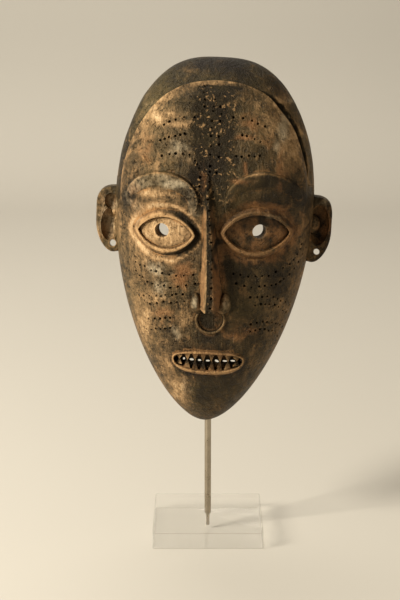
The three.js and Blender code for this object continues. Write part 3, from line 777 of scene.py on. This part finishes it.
# the paint: patina worn to ochre, rubbed pale, sooty or rusty; on the left, ochre and pale patches are partly
# painted light and sheen from the lamp, and soot patches on the right side, beside the nose and on the right
# ear are painted shade
# each patch: X, height, reach across, reach up, strength
paintPatches = {
    # ochre: worn ochre; the strong patches on the left are partly painted light from the lamp
    "ochre": [
        (-24, 34, 10, 17, 0.95), (80, 284, 12, 26, 0.85), (-50, 279, 8, 6, 0.9), (-38, 284, 8, 3, 0.8),
        (-30, 275, 14, 1.8, 0.9), (-40, 203, 26, 8, 1.25), (-92, 176, 5, 12, 0.6), (-62, 262, 9, 18, 0.5),
        (-66, 236, 6, 22, 0.45), (-28, 277, 14, 3, 0.6), (-48, 240, 3, 14, 0.7), (-52, 216, 22, 6, 0.95),
        (-30, 216, 9, 8, 0.6), (-40, 183, 36, 25, 0.95), (-12, 186, 5, 20, 0.9), (-44, 162, 22, 6, 0.6),
        (-62, 150, 14, 26, 0.35), (-56, 96, 12, 26, 0.65), (-50, 120, 12, 10, 0.4), (-44, 82, 12, 14, 0.3),
        (-20, 108, 9, 9, 0.55), (-36, 58, 12, 24, 0.75), (66, 262, 14, 34, 0.7), (50, 284, 12, 16, 0.5),
        (14, 214, 4, 14, 0.9), (40, 238, 28, 2.2, 0.6), (-4, 196, 5, 12, 0.9), (78, 244, 6, 40, 0.4),
        (-26, 318, 8, 2.5, 0.9), (50, 295, 6, 3, 0.8), (70, 290, 12, 22, 0.4), (-97, 182, 6, 26, 0.45),
        (12, 20, 8, 10, 0.2), (-20, 28, 9, 20, 0.5), (80, 150, 9, 44, 0.6), (66, 104, 10, 30, 0.5),
        (86, 196, 6, 34, 0.5), (56, 300, 20, 20, 0.6),
    ],
    # pale: rubbed grey, with a painted sheen on the left and the lit floor of the left ear painted pale
    "pale": [
        (-33, 226, 12, 5, 1.0), (-30, 256, 13, 10, 0.6), (-58, 226, 8, 5, 0.3), (-46, 150, 11, 8, 0.7),
        (-42, 134, 9, 12, 0.6), (-14, 34, 7, 16, 0.2), (-28, 92, 9, 9, 0.5), (-64, 200, 8, 34, 0.35),
        (-10, 124, 5, 8, 0.8), (15, 124, 4, 7, 0.5), (54, 201, 14, 3.5, 0.6), (-91, 199, 6, 7, 1.0),
        (-98, 184, 7, 16, 0.75), (-92, 176, 5, 12, 1.0), (57, 276, 6, 13, 0.95), (52, 262, 4, 8, 0.6),
        (66, 296, 8, 3, 0.8), (-54, 286, 14, 8, 0.3), (-18, 36, 6, 16, 0.35), (-42, 128, 6, 12, 0.3),
        (98, 209, 4, 4, 0.6),
    ],
    # soot: real soot, and painted shade on the right side, beside the nose and on the right ear
    "soot": [
        (-74, 288, 12, 28, 0.35), (-48, 252, 5, 10, 0.6), (-20, 292, 14, 7, 0.8), (-44, 290, 8, 4, 0.5),
        (-26, 242, 9, 3, 0.4), (2, 36, 22, 18, 0.65), (-8, 54, 26, 5, 0.5), (22, 160, 13, 34, 1.0),
        (30, 118, 22, 26, 0.55), (44, 208, 34, 12, 0.6), (58, 160, 30, 16, 0.35), (26, 240, 12, 14, 0.5),
        (-22, 222, 9, 12, 0.8), (-14, 192, 4, 8, 0.5), (3, 92, 16, 6, 0.5), (96, 182, 10, 34, 1.0),
        (54, 128, 22, 26, 0.3), (-74, 126, 6, 20, 0.35), (12, 312, 40, 8, 0.4), (-48, 314, 26, 16, 0.8),
        (0, 322, 44, 9, 0.45), (20, 284, 14, 12, 0.35), (-24, 148, 8, 13, 0.35), (-97, 160, 8, 7, 0.5),
        (60, 226, 16, 18, 0.3), (-58, 196, 5, 8, 0.3), (3, 107, 11, 11, 1.1),
    ],
    "rust": [
        (27, 243, 2.5, 7, 0.9), (22, 232, 9, 2.5, 0.7), (24, 268, 9, 2.4, 0.7), (30, 280, 10, 8, 0.5),
        (56, 240, 4, 18, 0.6), (44, 262, 8, 12, 0.3), (42, 186, 36, 24, 0.5), (-24, 148, 9, 13, 0.8),
        (8, 146, 5, 34, 0.8), (-40, 190, 32, 22, 0.3), (-68, 214, 8, 12, 0.45), (62, 238, 12, 10, 0.4),
        (98, 182, 8, 26, 0.5), (34, 96, 20, 10, 0.4), (2, 68, 34, 14, 0.5), (-97, 178, 5, 28, 0.5),
        (-60, 256, 10, 20, 0.35), (-20, 160, 8, 8, 0.4), (-40, 108, 14, 10, 0.3), (-8, 230, 4, 20, 0.5),
    ],
}
# the left eye's gold round it is partly painted light from the lamp; the slope value is the strength of
# painted shade on the lid's far slope
eyePaint = {
    "left": {"lens": 0.92, "lids": 0.72, "around": 1.2, "rust": 0.12, "dark": 0.0, "slope": 1.0},
    "right": {"lens": 0.0, "lids": 0.10, "around": 0.0, "rust": 0.3, "dark": 0.55, "slope": 0.0},
}


def onBrow(x, height, brow):
    points, _ = curvePoint(brow["path"], np.linspace(0, 1, 60))
    gap = np.min(np.hypot(x[:, None] - points[0], height[:, None] - points[1]), axis=1)
    return 1 - smooth(0.62, 0.88, gap / brow["halfThickness"])


def inEye(x, height, eye, grow):
    across = (x - eye["x"]) / (eye["halfLength"] - lid["insetCorner"] + grow * 0.8)
    up = (height - eye["height"]) / (eye["halfRise"] - lid["inset"] + grow)
    return 1 - smooth(0.9, 1.08, across ** 2 + np.abs(up) ** (4 / 3))


def insideMouth(x, height, grow):
    across = np.abs(x - mouth["x"]) / (mouth["halfLength"] + grow * 0.5)
    reach = np.where(height > mouth["height"], mouth["up"] + grow * 0.7, mouth["down"] + grow)
    return 1 - smooth(0.9, 1.1, across ** 2.5 + (np.abs(height - mouth["height"]) / reach) ** 2.35)


def acrossNose(x, height):
    run = np.clip((nose["top"] - height) / (nose["top"] - nose["tip"]), 0, 1)
    half = mix(nose["topHalf"], nose["tipHalf"], run ** nose["widening"])
    return (x - mix(nose["topX"], nose["tipX"], np.minimum(run * nose["leanRate"], 1))) / half


def patchField(x, height, patches, ragged):
    field = np.zeros(len(x))
    for middleX, middleHeight, reachX, reachUp, strength in patches:
        field = np.maximum(field, strength * bump(x, height, middleX, middleHeight, reachX, reachUp))
    return np.clip(field * (1 + 0.35 * ragged), 0, 1.2)


def neighbourMean(values, ends, count):
    total = np.zeros((count,) + values.shape[1:])
    for near, far in ((0, 1), (1, 0)):
        np.add.at(total, ends[:, near], values[ends[:, far]])
    degree = np.maximum(np.bincount(ends.ravel(), minlength=count), 1)
    return total / (degree if values.ndim == 1 else degree[:, None])


def edgeField(mesh, places, normals):
    # above zero on ridges, below zero in creases
    ends = np.empty(len(mesh.edges) * 2, dtype=np.int32)
    mesh.edges.foreach_get("vertices", ends)
    ends = ends.reshape(-1, 2)
    count = len(mesh.vertices)
    length = np.linalg.norm(places[ends[:, 0]] - places[ends[:, 1]], axis=1)
    reach = np.zeros(count)
    for column in (0, 1):
        np.maximum.at(reach, ends[:, column], length)
    offset = places - neighbourMean(places, ends, count)
    curve = (offset * normals).sum(axis=1) / np.maximum(reach, 0.2)
    for _ in range(3):
        curve = 0.5 * curve + 0.5 * neighbourMean(curve, ends, count)
    return np.clip(curve * 6, -1, 1)


def shelterField(solid, places, normals, rays=14, reach=9.0):
    # how much each point is closed in by what stands round it, which the wood takes as painted shade
    tree = BVHTree.FromObject(solid, bpy.context.evaluated_depsgraph_get())
    chance = random.Random(9)
    ways = []
    while len(ways) < rays:
        ways.append(Vector((chance.gauss(0, 1), chance.gauss(0, 1), chance.gauss(0, 1))).normalized())
    shelter = np.zeros(len(places))
    for index in range(len(places)):
        normal = Vector(normals[index])
        start = Vector(places[index]) + normal * 0.35
        met = 0
        for way in ways:
            aim = (way + normal * 1.02).normalized()
            hit = tree.ray_cast(start, aim, reach)
            if hit[0] is not None:
                met += 1 - 0.6 * hit[3] / reach
        shelter[index] = met / rays
    return shelter


def readVectors(items, key):
    values = np.empty(len(items) * 3, dtype=np.float32)
    items.foreach_get(key, values)
    return values.reshape(-1, 3).astype(float)


def paintMask(solid):
    mesh = solid.data
    places = readVectors(mesh.vertices, "co")
    normals = readVectors(mesh.vertex_normals, "vector")
    back = np.array(standingMatrix().inverted())
    local = places @ back[:3, :3].T + back[:3, 3]
    facing = normals @ back[:3, :3].T
    x, y, height = local.T
    outside = smooth(-0.2, 0.25, -facing[:, 1])
    ragged = waves(local, 11, 31) + 0.7 * waves(local, 4.5, 32)
    edge = edgeField(mesh, places, normals)
    shelter = shelterField(solid, places, normals)
    behindFace = (y > faceAt(x, height) + 6) & (np.abs(x) < halfWidthAt(height) - 5)
    inside = (behindFace & (facing[:, 1] > 0.1)).astype(float)
    ahead = hairlineY(height) - y
    plate = (ahead > -0.5) & (height > hairline["plateFrom"])
    # ochre along the face plate's edge, fading to the right: worn wood, with a painted highlight where the
    # left edge faces the lamp
    rimWearAndHighlight = plate * (1 - smooth(3.5, 8.0, ahead + 1.8 * ragged)) * mix(1, 0.12, smooth(5, 40, x))
    ochre, pale, soot, rust = [patchField(x, height, patches, ragged) for patches in paintPatches.values()]
    ochre = np.maximum(ochre, 0.66 * rimWearAndHighlight)
    stray = 2.2 * ragged + 3.5 * waves(local, 38, 33)
    # the sooty band down the middle of the forehead
    band = (ahead > 3) * smooth(-22, -15, x + stray) * (1 - smooth(12, 21, x - stray))
    band = band * smooth(200, 216, height)
    soot = np.maximum(soot, 1.15 * band)
    ochre = ochre * (1 - 0.75 * band)
    # the nose: tan left facet and bevel, partly a painted highlight from the lamp on the left; black front
    # strip; dark red-brown right facet, partly painted shade
    across = acrossNose(x, height)
    onNose = (height > nose["tip"] - 1) * (1 - smooth(206, 216, height)) * (np.abs(across) < 1.02)
    strip = onNose * (1 - smooth(nose["strip"] * 0.8, nose["strip"] * 1.15, np.abs(across)))
    leftFacet = onNose * (across < -nose["bevel"])
    bevels = onNose * (1 - strip) * (np.abs(across) < nose["bevel"]) * (across < 0)
    ochre = np.maximum(ochre * (1 - onNose), np.maximum(0.62 * leftFacet, 0.40 * bevels))
    pale = np.maximum(pale * (1 - onNose), 0.15 * bevels)
    rightFacet = onNose * (across > nose["strip"])
    soot = np.maximum(soot * (1 - leftFacet), np.maximum(1.6 * strip, 0.75 * rightFacet))
    rust = np.maximum(rust, onNose * np.where(across > nose["strip"], 0.25, 0.6 * leftFacet))
    # grey brow, black brow, golden eye and brown eye; the left brow's grey is partly a painted sheen, and the
    # gold round the left eye partly painted light from the lamp
    for name, brow in brows.items():
        raised = onBrow(x, height, brow)
        pale = np.maximum(pale, raised * (0.42 if name == "left" else 0.1))
        soot = np.maximum(soot * (1 - 0.5 * raised), raised * (0.25 if name == "left" else 0.75))
        ochre = ochre * (1 - 0.7 * raised)
    for name, eye in eyes.items():
        thickness, look = lid["thickness"], eyePaint[name]
        lens, lids, around = [inEye(x, height, eye, grow) for grow in (0, thickness, thickness + 7)]
        soot = np.maximum(soot * (1 - 0.7 * lids), look["dark"] * lids)
        eyeOchre = np.maximum(look["lens"] * lens, look["lids"] * (lids - lens))
        ochre = np.maximum(ochre * (1 - lids), eyeOchre)
        ochre = np.maximum(ochre, look["around"] * (around - lids))
        rust = np.maximum(rust * (1 - 0.5 * lens), np.maximum(0.45 * (around - lens), look["rust"] * lens))
        # painted shade: the lid's outer slope, turned away from the light, is painted black
        slope = inEye(x, height, eye, thickness + 2.5) - inEye(x, height, eye, thickness * 0.5)
        slope = slope * look["slope"] * smooth(eye["x"] - 6, eye["x"] + 16, x)
        soot = np.maximum(soot, 1.5 * slope)
        shelter = shelter * (1 - 0.55 * look["around"] * around * (1 - slope))
        ochre, rust = ochre * (1 - slope), rust * (1 - slope)
        # painted shade: black inside the pupil bores
        fromPupil = np.hypot(x - eye["pupilX"], height - eye["pupilHeight"])
        bored = (fromPupil < lid["pupilRadius"] + 2.5) & (y > faceAt(x, height) + 2.5)
        soot = np.where(bored, 2.2, soot)
    # painted shade: black in the groove behind the hairline, and a painted shadow along its far edge on the
    # left, with one pale chip
    grooveEnd, upHead = -grooveWidth(x, height), height > hairline["grooveFrom"]
    level = (np.abs(x) / halfWidthAt(height)) ** head["section"] + (
        np.abs(y) / (head["frontDepth"] * depthShareAt(height))) ** head["section"]
    inGroove = (ahead < 0.6) & (ahead > grooveEnd - 0.6) & (level < 0.965) & (y < 0) & upHead
    soot = np.maximum(soot, 2.4 * inGroove)
    farEdgeShadow = (ahead < grooveEnd + 0.5) & (x < 24) & upHead
    soot = np.maximum(soot, 1.1 * farEdgeShadow * smooth(-4.5, -0.5, ahead - grooveEnd))
    chipped = (ahead < grooveEnd + 0.6) & (ahead > grooveEnd - 2.2 - ragged)
    ochre = np.maximum(ochre, chipped * bump(x, height, 51, 293, 12, 12))
    # tan lips and tooth edges; painted shade makes the deep opening black, and a painted shadow lies under
    # the lower lip
    opening, lips, below = [insideMouth(x, height, grow) for grow in (-0.3, 4.8, 8.5)]
    lifted = faceAt(x, height) - y
    raised = smooth(-2.2, 0.6, lifted)
    ochre = np.maximum(ochre * (1 - lips), np.maximum(0.62 * (lips - opening), opening * raised * 0.9))
    rust = np.maximum(rust * (1 - opening), 0.6 * (lips - opening))
    underLipShadow = (below - lips) * (height < mouth["height"])
    soot = np.maximum(soot * (1 - lips), np.maximum(2.0 * opening * (1 - raised), 0.9 * underLipShadow))
    pale = pale * (1 - lips)
    # less painted shade in the mouth and on the left ear, which catch the lamp
    onLeftEar = (x < -84) & (height > 150) & (height < 215)
    shelter = shelter * np.where(opening > 0.5, 0.6, np.where(onLeftEar, 0.15, 1))
    ochre, pale, soot, rust = ochre * outside, pale * outside, soot * outside, rust * outside
    crumbs = 0.8 * smooth(0.3, 0.9, ragged - soot)
    crust = np.clip(np.maximum(np.maximum(band, strip), crumbs) * outside, 0, 1)
    onCap = ((ahead < 0) & (height > hairline["plateFrom"])).astype(float)
    fields = {
        "ochre": ochre, "pale": pale, "soot": soot, "rust": rust, "edge": edge * 0.5 + 0.5,
        "shelter": shelter, "inside": inside, "cap": onCap, "crust": crust,
    }
    for name, field in fields.items():
        layer = mesh.attributes.new(name, "FLOAT", "POINT")
        layer.data.foreach_set("value", field.astype(np.float32))
    print("mask painted")


# the rod, turned bright; its top stands in the chin and its thinner stud in the block
rodSize = {
    "radius": 3, "studRadius": 1.5, "socketDepth": 30, "gap": 0.3, "endBevel": 1, "studBevel": 0.3,
    "footBevel": 0.25,
}


mask = shapeMask()
mask.data.transform(standingMatrix())
socketBore = cylinder(rodSize["radius"] + rodSize["gap"], 2 * rodSize["socketDepth"], 48,
                      Matrix.Translation((0, 0, stance["chinHeight"])))
combine(mask, [solidFrom(socketBore, "socketBore")], "DIFFERENCE")
print("mask", len(mask.data.vertices), "points,",
      sum(len(face.vertices) - 2 for face in mask.data.polygons), "triangles")
paintMask(mask)
finishSolid(mask, "carvedMask", "root", "mask")
print("mask stands on its rod")


def rodSolid():
    foot = blockSize["height"] + rodSize["gap"]
    top = stance["chinHeight"] + rodSize["socketDepth"] - rodSize["gap"]
    studEnd = blockSize["height"] - blockSize["boreDepth"] + rodSize["gap"]
    radius, stud = rodSize["radius"], rodSize["studRadius"]
    endBevel, studBevel, footBevel = rodSize["endBevel"], rodSize["studBevel"], rodSize["footBevel"]
    profile = [
        (0, studEnd), (stud - studBevel, studEnd), (stud, studEnd + studBevel), (stud, foot),
        (radius - footBevel, foot), (radius, foot + footBevel), (radius, top - endBevel),
        (radius - endBevel, top), (0, top)]
    bm = bmesh.new()
    verts = [bm.verts.new((x, 0, z)) for x, z in profile]
    edges = [bm.edges.new(pair) for pair in zip(verts, verts[1:])]
    bmesh.ops.spin(bm, geom=verts + edges, axis=(0, 0, 1), cent=(0, 0, 0), steps=64, angle=2 * math.pi,
                   use_merge=True)
    return solidFrom(bm, "rod")


# the clear block, with polished edges and a blind bore for the stud
blockSize = {"side": 100, "height": 15, "cornerRadius": 2, "edge": 0.8, "boreDepth": 12}


def blockSolid():
    side, tall = blockSize["side"], blockSize["height"]
    bm = bmesh.new()
    bmesh.ops.create_cube(bm, size=1)
    bmesh.ops.scale(bm, vec=(side, side, tall), verts=bm.verts)
    bmesh.ops.translate(bm, vec=(0, 0, tall / 2), verts=bm.verts)
    corners = [edge for edge in bm.edges if abs(edge.verts[0].co.z - edge.verts[1].co.z) > 1]
    bevel(bm, corners, blockSize["cornerRadius"], 6)
    rims = [edge for edge in bm.edges if abs(edge.verts[0].co.z - edge.verts[1].co.z) < 0.01]
    bevel(bm, rims, blockSize["edge"], 3)
    block = solidFrom(bm, "block")
    bore = cylinder(rodSize["studRadius"] + rodSize["gap"], 2 * blockSize["boreDepth"], 48,
                    Matrix.Translation((0, 0, tall)))
    combine(block, [solidFrom(bore, "bore")], "DIFFERENCE")
    # the polished edge round the top and the foot is marked, to be painted darker and less clear there as
    # painted shade for the light that the edges bend
    places = [vert.co for vert in block.data.vertices]
    onEdge = [float(0.01 < min(place.z, tall - place.z) < blockSize["edge"] - 0.01 and
                    max(abs(place.x), abs(place.y)) > side / 2 - blockSize["edge"]) for place in places]
    block.data.attributes.new("onEdge", "FLOAT", "POINT").data.foreach_set("value", onEdge)
    return block


rodPiece = finishSolid(rodSolid(), "standRod", "root", "rod")
blockPiece = finishSolid(blockSolid(), "standBlock", "root", "base", 20)
print("stand made")


class Wire:
    # a socket in a material, so shader maths reads as plain expressions
    def __init__(self, tree, socket=None):
        self.tree = tree
        self.socket = socket

    def add(self, kind, settings=None, inputs=None, output=0):
        node = self.tree.nodes.new("ShaderNode" + kind)
        for name, value in (settings or {}).items():
            if name == "stops":
                ramp = node.color_ramp
                while len(ramp.elements) < len(value):
                    ramp.elements.new(0.5)
                for element, (position, colour) in zip(ramp.elements, value):
                    element.position = position
                    element.color = colour
            else:
                setattr(node, name, value)
        for name, value in (inputs or {}).items():
            if isinstance(value, Wire):
                self.tree.links.new(value.socket, node.inputs[name])
            else:
                node.inputs[name].default_value = value
        return Wire(self.tree, node.outputs[output])

    def maths(self, operation, first, second=0.0):
        return self.add("Math", {"operation": operation}, {0: first, 1: second})

    def __add__(self, other):
        return self.maths("ADD", self, other)

    def __radd__(self, other):
        return self.maths("ADD", other, self)

    def __sub__(self, other):
        return self.maths("SUBTRACT", self, other)

    def __rsub__(self, other):
        return self.maths("SUBTRACT", other, self)

    def __mul__(self, other):
        return self.maths("MULTIPLY", self, other)

    def __rmul__(self, other):
        return self.maths("MULTIPLY", other, self)

    def between(self, low, high):
        # 0 below low, 1 above high, smooth on the way
        return self.add("MapRange", {"interpolation_type": "SMOOTHSTEP"}, {
            "Value": self, "From Min": low, "From Max": high, "To Min": 0.0, "To Max": 1.0})

    def tint(self, first, second):
        # a colour between two, with this value as the share of the second
        return self.add("Mix", {"data_type": "RGBA"}, {"Factor": self, 6: first, 7: second}, 2)

    def ramp(self, stops):
        return self.add("ValToRGB", {"stops": stops}, {"Fac": self})

    def painted(self, name):
        # a value that lies on the mesh's points
        return self.add("Attribute", {"attribute_name": name}, output=2)

    def stretched(self, scale):
        return self.add("Mapping", {}, {"Vector": self, "Scale": scale})

    def noise(self, scale, detail, roughness, distortion=0.0):
        return self.add("TexNoise", {}, {
            "Vector": self, "Scale": scale, "Detail": detail, "Roughness": roughness,
            "Distortion": distortion})

    def bump(self, strength, distance):
        return self.add("Bump", {}, {"Strength": strength, "Distance": distance, "Height": self})


def newFinish(name):
    finish = bpy.data.materials.new(name)
    finish.use_nodes = True
    tree = finish.node_tree
    return finish, tree.nodes["Principled BSDF"], Wire(tree).add("TexCoord", output=3)


def feed(shader, values):
    for name, value in values.items():
        if isinstance(value, Wire):
            value.tree.links.new(value.socket, shader.inputs[name])
        else:
            shader.inputs[name].default_value = value


# the wood: patina and bare wood run from black, which also serves as painted shade in the hollows, to worn
# edges, colours are linear
wood = {
    "patina": [
        (0.10, (0.005, 0.003, 0.002, 1)), (0.28, (0.019, 0.012, 0.005, 1)), (0.44, (0.058, 0.036, 0.016, 1)),
        (0.60, (0.148, 0.088, 0.040, 1)), (0.76, (0.330, 0.205, 0.098, 1)), (0.94, (0.560, 0.395, 0.220, 1))],
    "inside": [
        (0.30, (0.030, 0.019, 0.009, 1)), (0.55, (0.095, 0.058, 0.028, 1)), (0.80, (0.190, 0.125, 0.065, 1))],
    "olive": (0.094, 0.073, 0.027, 1), "pale": (0.410, 0.335, 0.222, 1), "rust": (0.185, 0.082, 0.030, 1),
    "earth": (0.330, 0.170, 0.064, 1), "black": (0.006, 0.004, 0.002, 1), "glint": (0.420, 0.250, 0.110, 1),
    "tone": 0.370, "roughness": 0.44, "reliefMetres": 0.0026, "shine": 0.24,
    "shineTint": (1.0, 0.84, 0.62, 1),
}


def carvedWood():
    finish, shader, place = newFinish("carvedWood")

    def grained(*settings):
        # about even round zero
        return place.noise(*settings) - 0.5

    broad = grained(15.0, 3.0, 0.5)
    cloud = grained(58.0, 6.0, 0.55, 0.9)
    crumb = grained(230.0, 6.0, 0.62)
    grit = grained(640.0, 4.0, 0.65)
    streak = place.stretched((150.0, 110.0, 11.0)).noise(1.0, 6.0, 0.62) - 0.5
    fibre = place.stretched((620.0, 480.0, 30.0)).noise(1.0, 4.0, 0.6) - 0.5
    ochre, pale, soot, rust = [place.painted(name) for name in ("ochre", "pale", "soot", "rust")]
    edge, shelter, inside = [place.painted(name) for name in ("edge", "shelter", "inside")]
    cap, crust = [place.painted(name) for name in ("cap", "crust")]

    # smooth dark patina, lighter where it is rubbed and darker as painted shade where the wood is closed in;
    # crumbly only where the crust lies
    grain = crumb * 0.60 + grit * 0.50 + streak * 0.42 + fibre * 0.38
    tone = wood["tone"] + broad * 0.56 + cloud * 0.66 + grain * (1 - ochre * 0.45)
    tone = tone + ochre * 0.38 - soot * 0.29 - cap * 0.13
    tone = tone + (edge - 0.5) * 0.50 - shelter * 0.34 + (crumb + grit) * crust * 0.7
    colour = tone.ramp(wood["patina"])
    olive = (0.30 + broad * 1.4 + cloud * 0.5).between(0.1, 0.8) * (1 - ochre) * (0.36 + cap * 0.20)
    colour = olive.tint(colour, wood["olive"])
    rusty = (rust * 1.1 + cloud * 1.7 + crumb * 0.6 + 0.10).between(0.22, 0.95)
    rusty = rusty * (1 - shelter) * (1 - cap * 0.6) * (1 - ochre * 0.6)
    colour = (rusty * 0.78).tint(colour, wood["rust"])
    paleShare = (pale * 1.1 + crumb * 0.8 + cloud * 1.2).between(0.25, 1.1)
    colour = (paleShare * 0.66).tint(colour, wood["pale"])
    # red earth settled in the shallow creases, painted shade in black in the deep ones, painted highlights as
    # tan glints on the crust
    settled = (0.5 - edge + cloud * 0.3).between(0.05, 0.20)
    settled = settled * (0.9 - shelter * 1.5).between(0.0, 0.9) * (1 - cap * 0.8)
    settled = settled * (0.35 + ochre * 0.5 + rust * 0.3) * (1 - soot * 0.7)
    colour = settled.tint(colour, wood["earth"])
    # painted highlights: tan specks of light on the crust
    glint = (grained(330.0, 3.0, 0.6) * 1.2 + cloud * 0.5 + grit * 0.3).between(0.10, 0.19) * crust
    colour = (glint * 0.70).tint(colour, wood["glint"])
    rubbed = (edge + cloud * 0.5 + crumb * 0.4).between(0.58, 0.80) * (1 - shelter)
    rubbed = rubbed * (0.12 + ochre * 0.35 + rust * 0.3) * (1 - soot * 0.8)
    colour = rubbed.tint(colour, wood["glint"])
    sunken = (0.0 - grit * 0.8 - crumb * 0.8).between(0.10, 0.19) * (0.55 + crust * 0.4) * (1 - ochre * 0.6)
    colour = sunken.tint(colour, wood["black"])
    # painted shade: black in the hollows, the groove, the bores, the mouth's depth and the sharpest creases;
    # the nose's black strip adds its own colour
    shadeAndSootBlack = shelter.between(0.34, 0.95) * 0.9 + (soot - 1.2).between(0.0, 0.8) * 0.9
    shadeAndSootBlack = (shadeAndSootBlack + (0.5 - edge + crumb * 0.3).between(0.16, 0.34) * 0.85).between(0.0, 1.0)
    colour = shadeAndSootBlack.tint(colour, wood["black"])
    bare = 0.5 + streak + crumb * 0.8 + fibre * 0.5
    colour = inside.tint(colour, bare.ramp(wood["inside"]))

    rough = wood["roughness"] + crumb * 0.4 + grit * 0.2 + ochre * 0.16
    rough = rough + inside * 0.25 + shadeAndSootBlack * 0.2 + crust * 0.1
    relief = cloud * 0.45 + grain * 0.8 + (crumb + grit * 0.8) * crust * 1.3 - sunken * 0.3
    feed(shader, {
        "Base Color": colour, "Roughness": rough, "Normal": relief.bump(1.0, wood["reliefMetres"]),
        "Specular IOR Level": wood["shine"], "Specular Tint": wood["shineTint"],
    })
    return finish


# the rod's steel
steel = {"light": (0.40, 0.345, 0.265, 1), "dark": (0.30, 0.255, 0.190, 1), "roughness": 0.20}


def polishedSteel():
    finish, shader, place = newFinish("polishedSteel")
    brushed = place.stretched((1.0, 1.0, 0.03)).noise(2600.0, 3.0, 0.6)
    smudge = place.noise(70.0, 4.0, 0.6)
    feed(shader, {
        "Base Color": smudge.between(0.35, 0.7).tint(steel["light"], steel["dark"]), "Metallic": 1.0,
        "Roughness": steel["roughness"] + smudge.between(0.4, 0.8) * 0.16,
        "Normal": brushed.bump(0.2, 0.0001),
    })
    return finish


# the block's clear plastic, painted darker and less clear on its polished edges as painted shade for the
# light they bend
acrylic = {
    "clear": (0.985, 0.985, 0.96, 1), "dusty": (0.96, 0.955, 0.93, 1), "edge": (0.50, 0.48, 0.42, 1),
    "alpha": 0.20, "edgeAlpha": 0.55, "bending": 1.49,
}


def clearAcrylic():
    finish, shader, place = newFinish("clearAcrylic")
    dust = place.noise(420.0, 4.0, 0.7)
    onEdge = place.painted("onEdge").between(0.2, 0.9)
    clear = dust.between(0.5, 0.8).tint(acrylic["clear"], acrylic["dusty"])
    feed(shader, {
        "Base Color": onEdge.tint(clear, acrylic["edge"]),
        "Alpha": acrylic["alpha"] + onEdge * acrylic["edgeAlpha"],
        "Roughness": 0.02 + dust.between(0.55, 0.8) * 0.05,
        "Normal": place.noise(35.0, 2.0, 0.5).bump(0.03, 0.0004),
        "Transmission Weight": 1.0, "IOR": acrylic["bending"],
    })
    return finish


# the paper sweep, floor and backdrop in one, with painted shade making it darker up the wall, where less lamp
# light reaches
paper = {
    "floor": (0.530, 0.503, 0.452, 1), "floorPale": (0.552, 0.526, 0.474, 1),
    "wall": (0.430, 0.408, 0.366, 1), "wallFrom": -0.05, "wallTo": 0.34,
}
sweep = {"width": 6.0, "front": -2.6, "bendStart": 1.6, "bendRadius": 0.8, "top": 2.8, "under": 0.0003}


def paperSweep():
    finish, shader, place = newFinish("paperSweep")
    floor = place.noise(1.3, 2.0, 0.5).tint(paper["floor"], paper["floorPale"])
    upwards = place.add("SeparateXYZ", {}, {"Vector": place}, 2).between(paper["wallFrom"], paper["wallTo"])
    feed(shader, {
        "Base Color": upwards.tint(floor, paper["wall"]), "Roughness": 0.72, "Specular IOR Level": 0.25,
        "Normal": place.noise(900.0, 3.0, 0.6).bump(0.08, 0.0003),
    })
    return finish


mask.data.materials.append(carvedWood())
rodPiece.data.materials.append(polishedSteel())
blockPiece.data.materials.append(clearAcrylic())
print("finishes made")


bm = bmesh.new()
start = bm.verts.new((-sweep["width"] / 2, sweep["front"], 0))
profile = [(sweep["bendStart"], 0)]
for step in range(1, 17):
    turn = math.radians(90 * step / 16)
    profile.append((sweep["bendStart"] + sweep["bendRadius"] * math.sin(turn),
                    sweep["bendRadius"] * (1 - math.cos(turn))))
profile.append((sweep["bendStart"] + sweep["bendRadius"], sweep["top"]))
verts = [start] + [bm.verts.new((-sweep["width"] / 2, y, z)) for y, z in profile]
edges = [bm.edges.new(pair) for pair in zip(verts, verts[1:])]
drawn = bmesh.ops.extrude_edge_only(bm, edges=edges)
bmesh.ops.translate(bm, vec=(sweep["width"], 0, 0), verts=newVerts(drawn))
bmesh.ops.recalc_face_normals(bm, faces=bm.faces)
sweepMesh = bpy.data.meshes.new("paperSweep")
bm.to_mesh(sweepMesh)
bm.free()
sweepMesh.shade_smooth()
sweepMesh.materials.append(paperSweep())
sweepMesh.transform(Matrix.Translation((0, 0, -sweep["under"])))
backdrop = bpy.data.objects.new("paperSweep", sweepMesh)
scene.collection.objects.link(backdrop)

# light: a broad warm lamp from the left, a little from the room
lamps = {
    "key": {
        "place": (-2.00, -1.05, 1.25), "aim": (0, 0, 0.28), "size": 0.8, "watts": 146,
        "colour": (1.0, 0.93, 0.80)},
    "fill": {
        "place": (1.5, -0.45, 0.5), "aim": (0, 0, 0.25), "size": 1.0, "watts": 8,
        "colour": (1.0, 0.85, 0.62)},
    "back": {
        "place": (-0.2, 1.3, 2.0), "aim": (0.25, 1.6, 0.0), "size": 1.6, "watts": 20,
        "colour": (1.0, 0.94, 0.84)},
}
for name, lamp in lamps.items():
    light = bpy.data.lights.new(name, "AREA")
    light.energy = lamp["watts"]
    light.size = lamp["size"]
    light.color = lamp["colour"]
    holder = bpy.data.objects.new(name, light)
    holder.location = lamp["place"]
    way = Vector(lamp["aim"]) - Vector(lamp["place"])
    holder.rotation_euler = way.to_track_quat("-Z", "Y").to_euler()
    scene.collection.objects.link(holder)

world = bpy.data.worlds.new("room")
world.use_nodes = True
background = world.node_tree.nodes["Background"].inputs
background["Color"].default_value = (1.0, 0.95, 0.88, 1)
background["Strength"].default_value = 0.09
scene.world = world
scene.view_settings.view_transform = "Standard"
print("floor and light set")
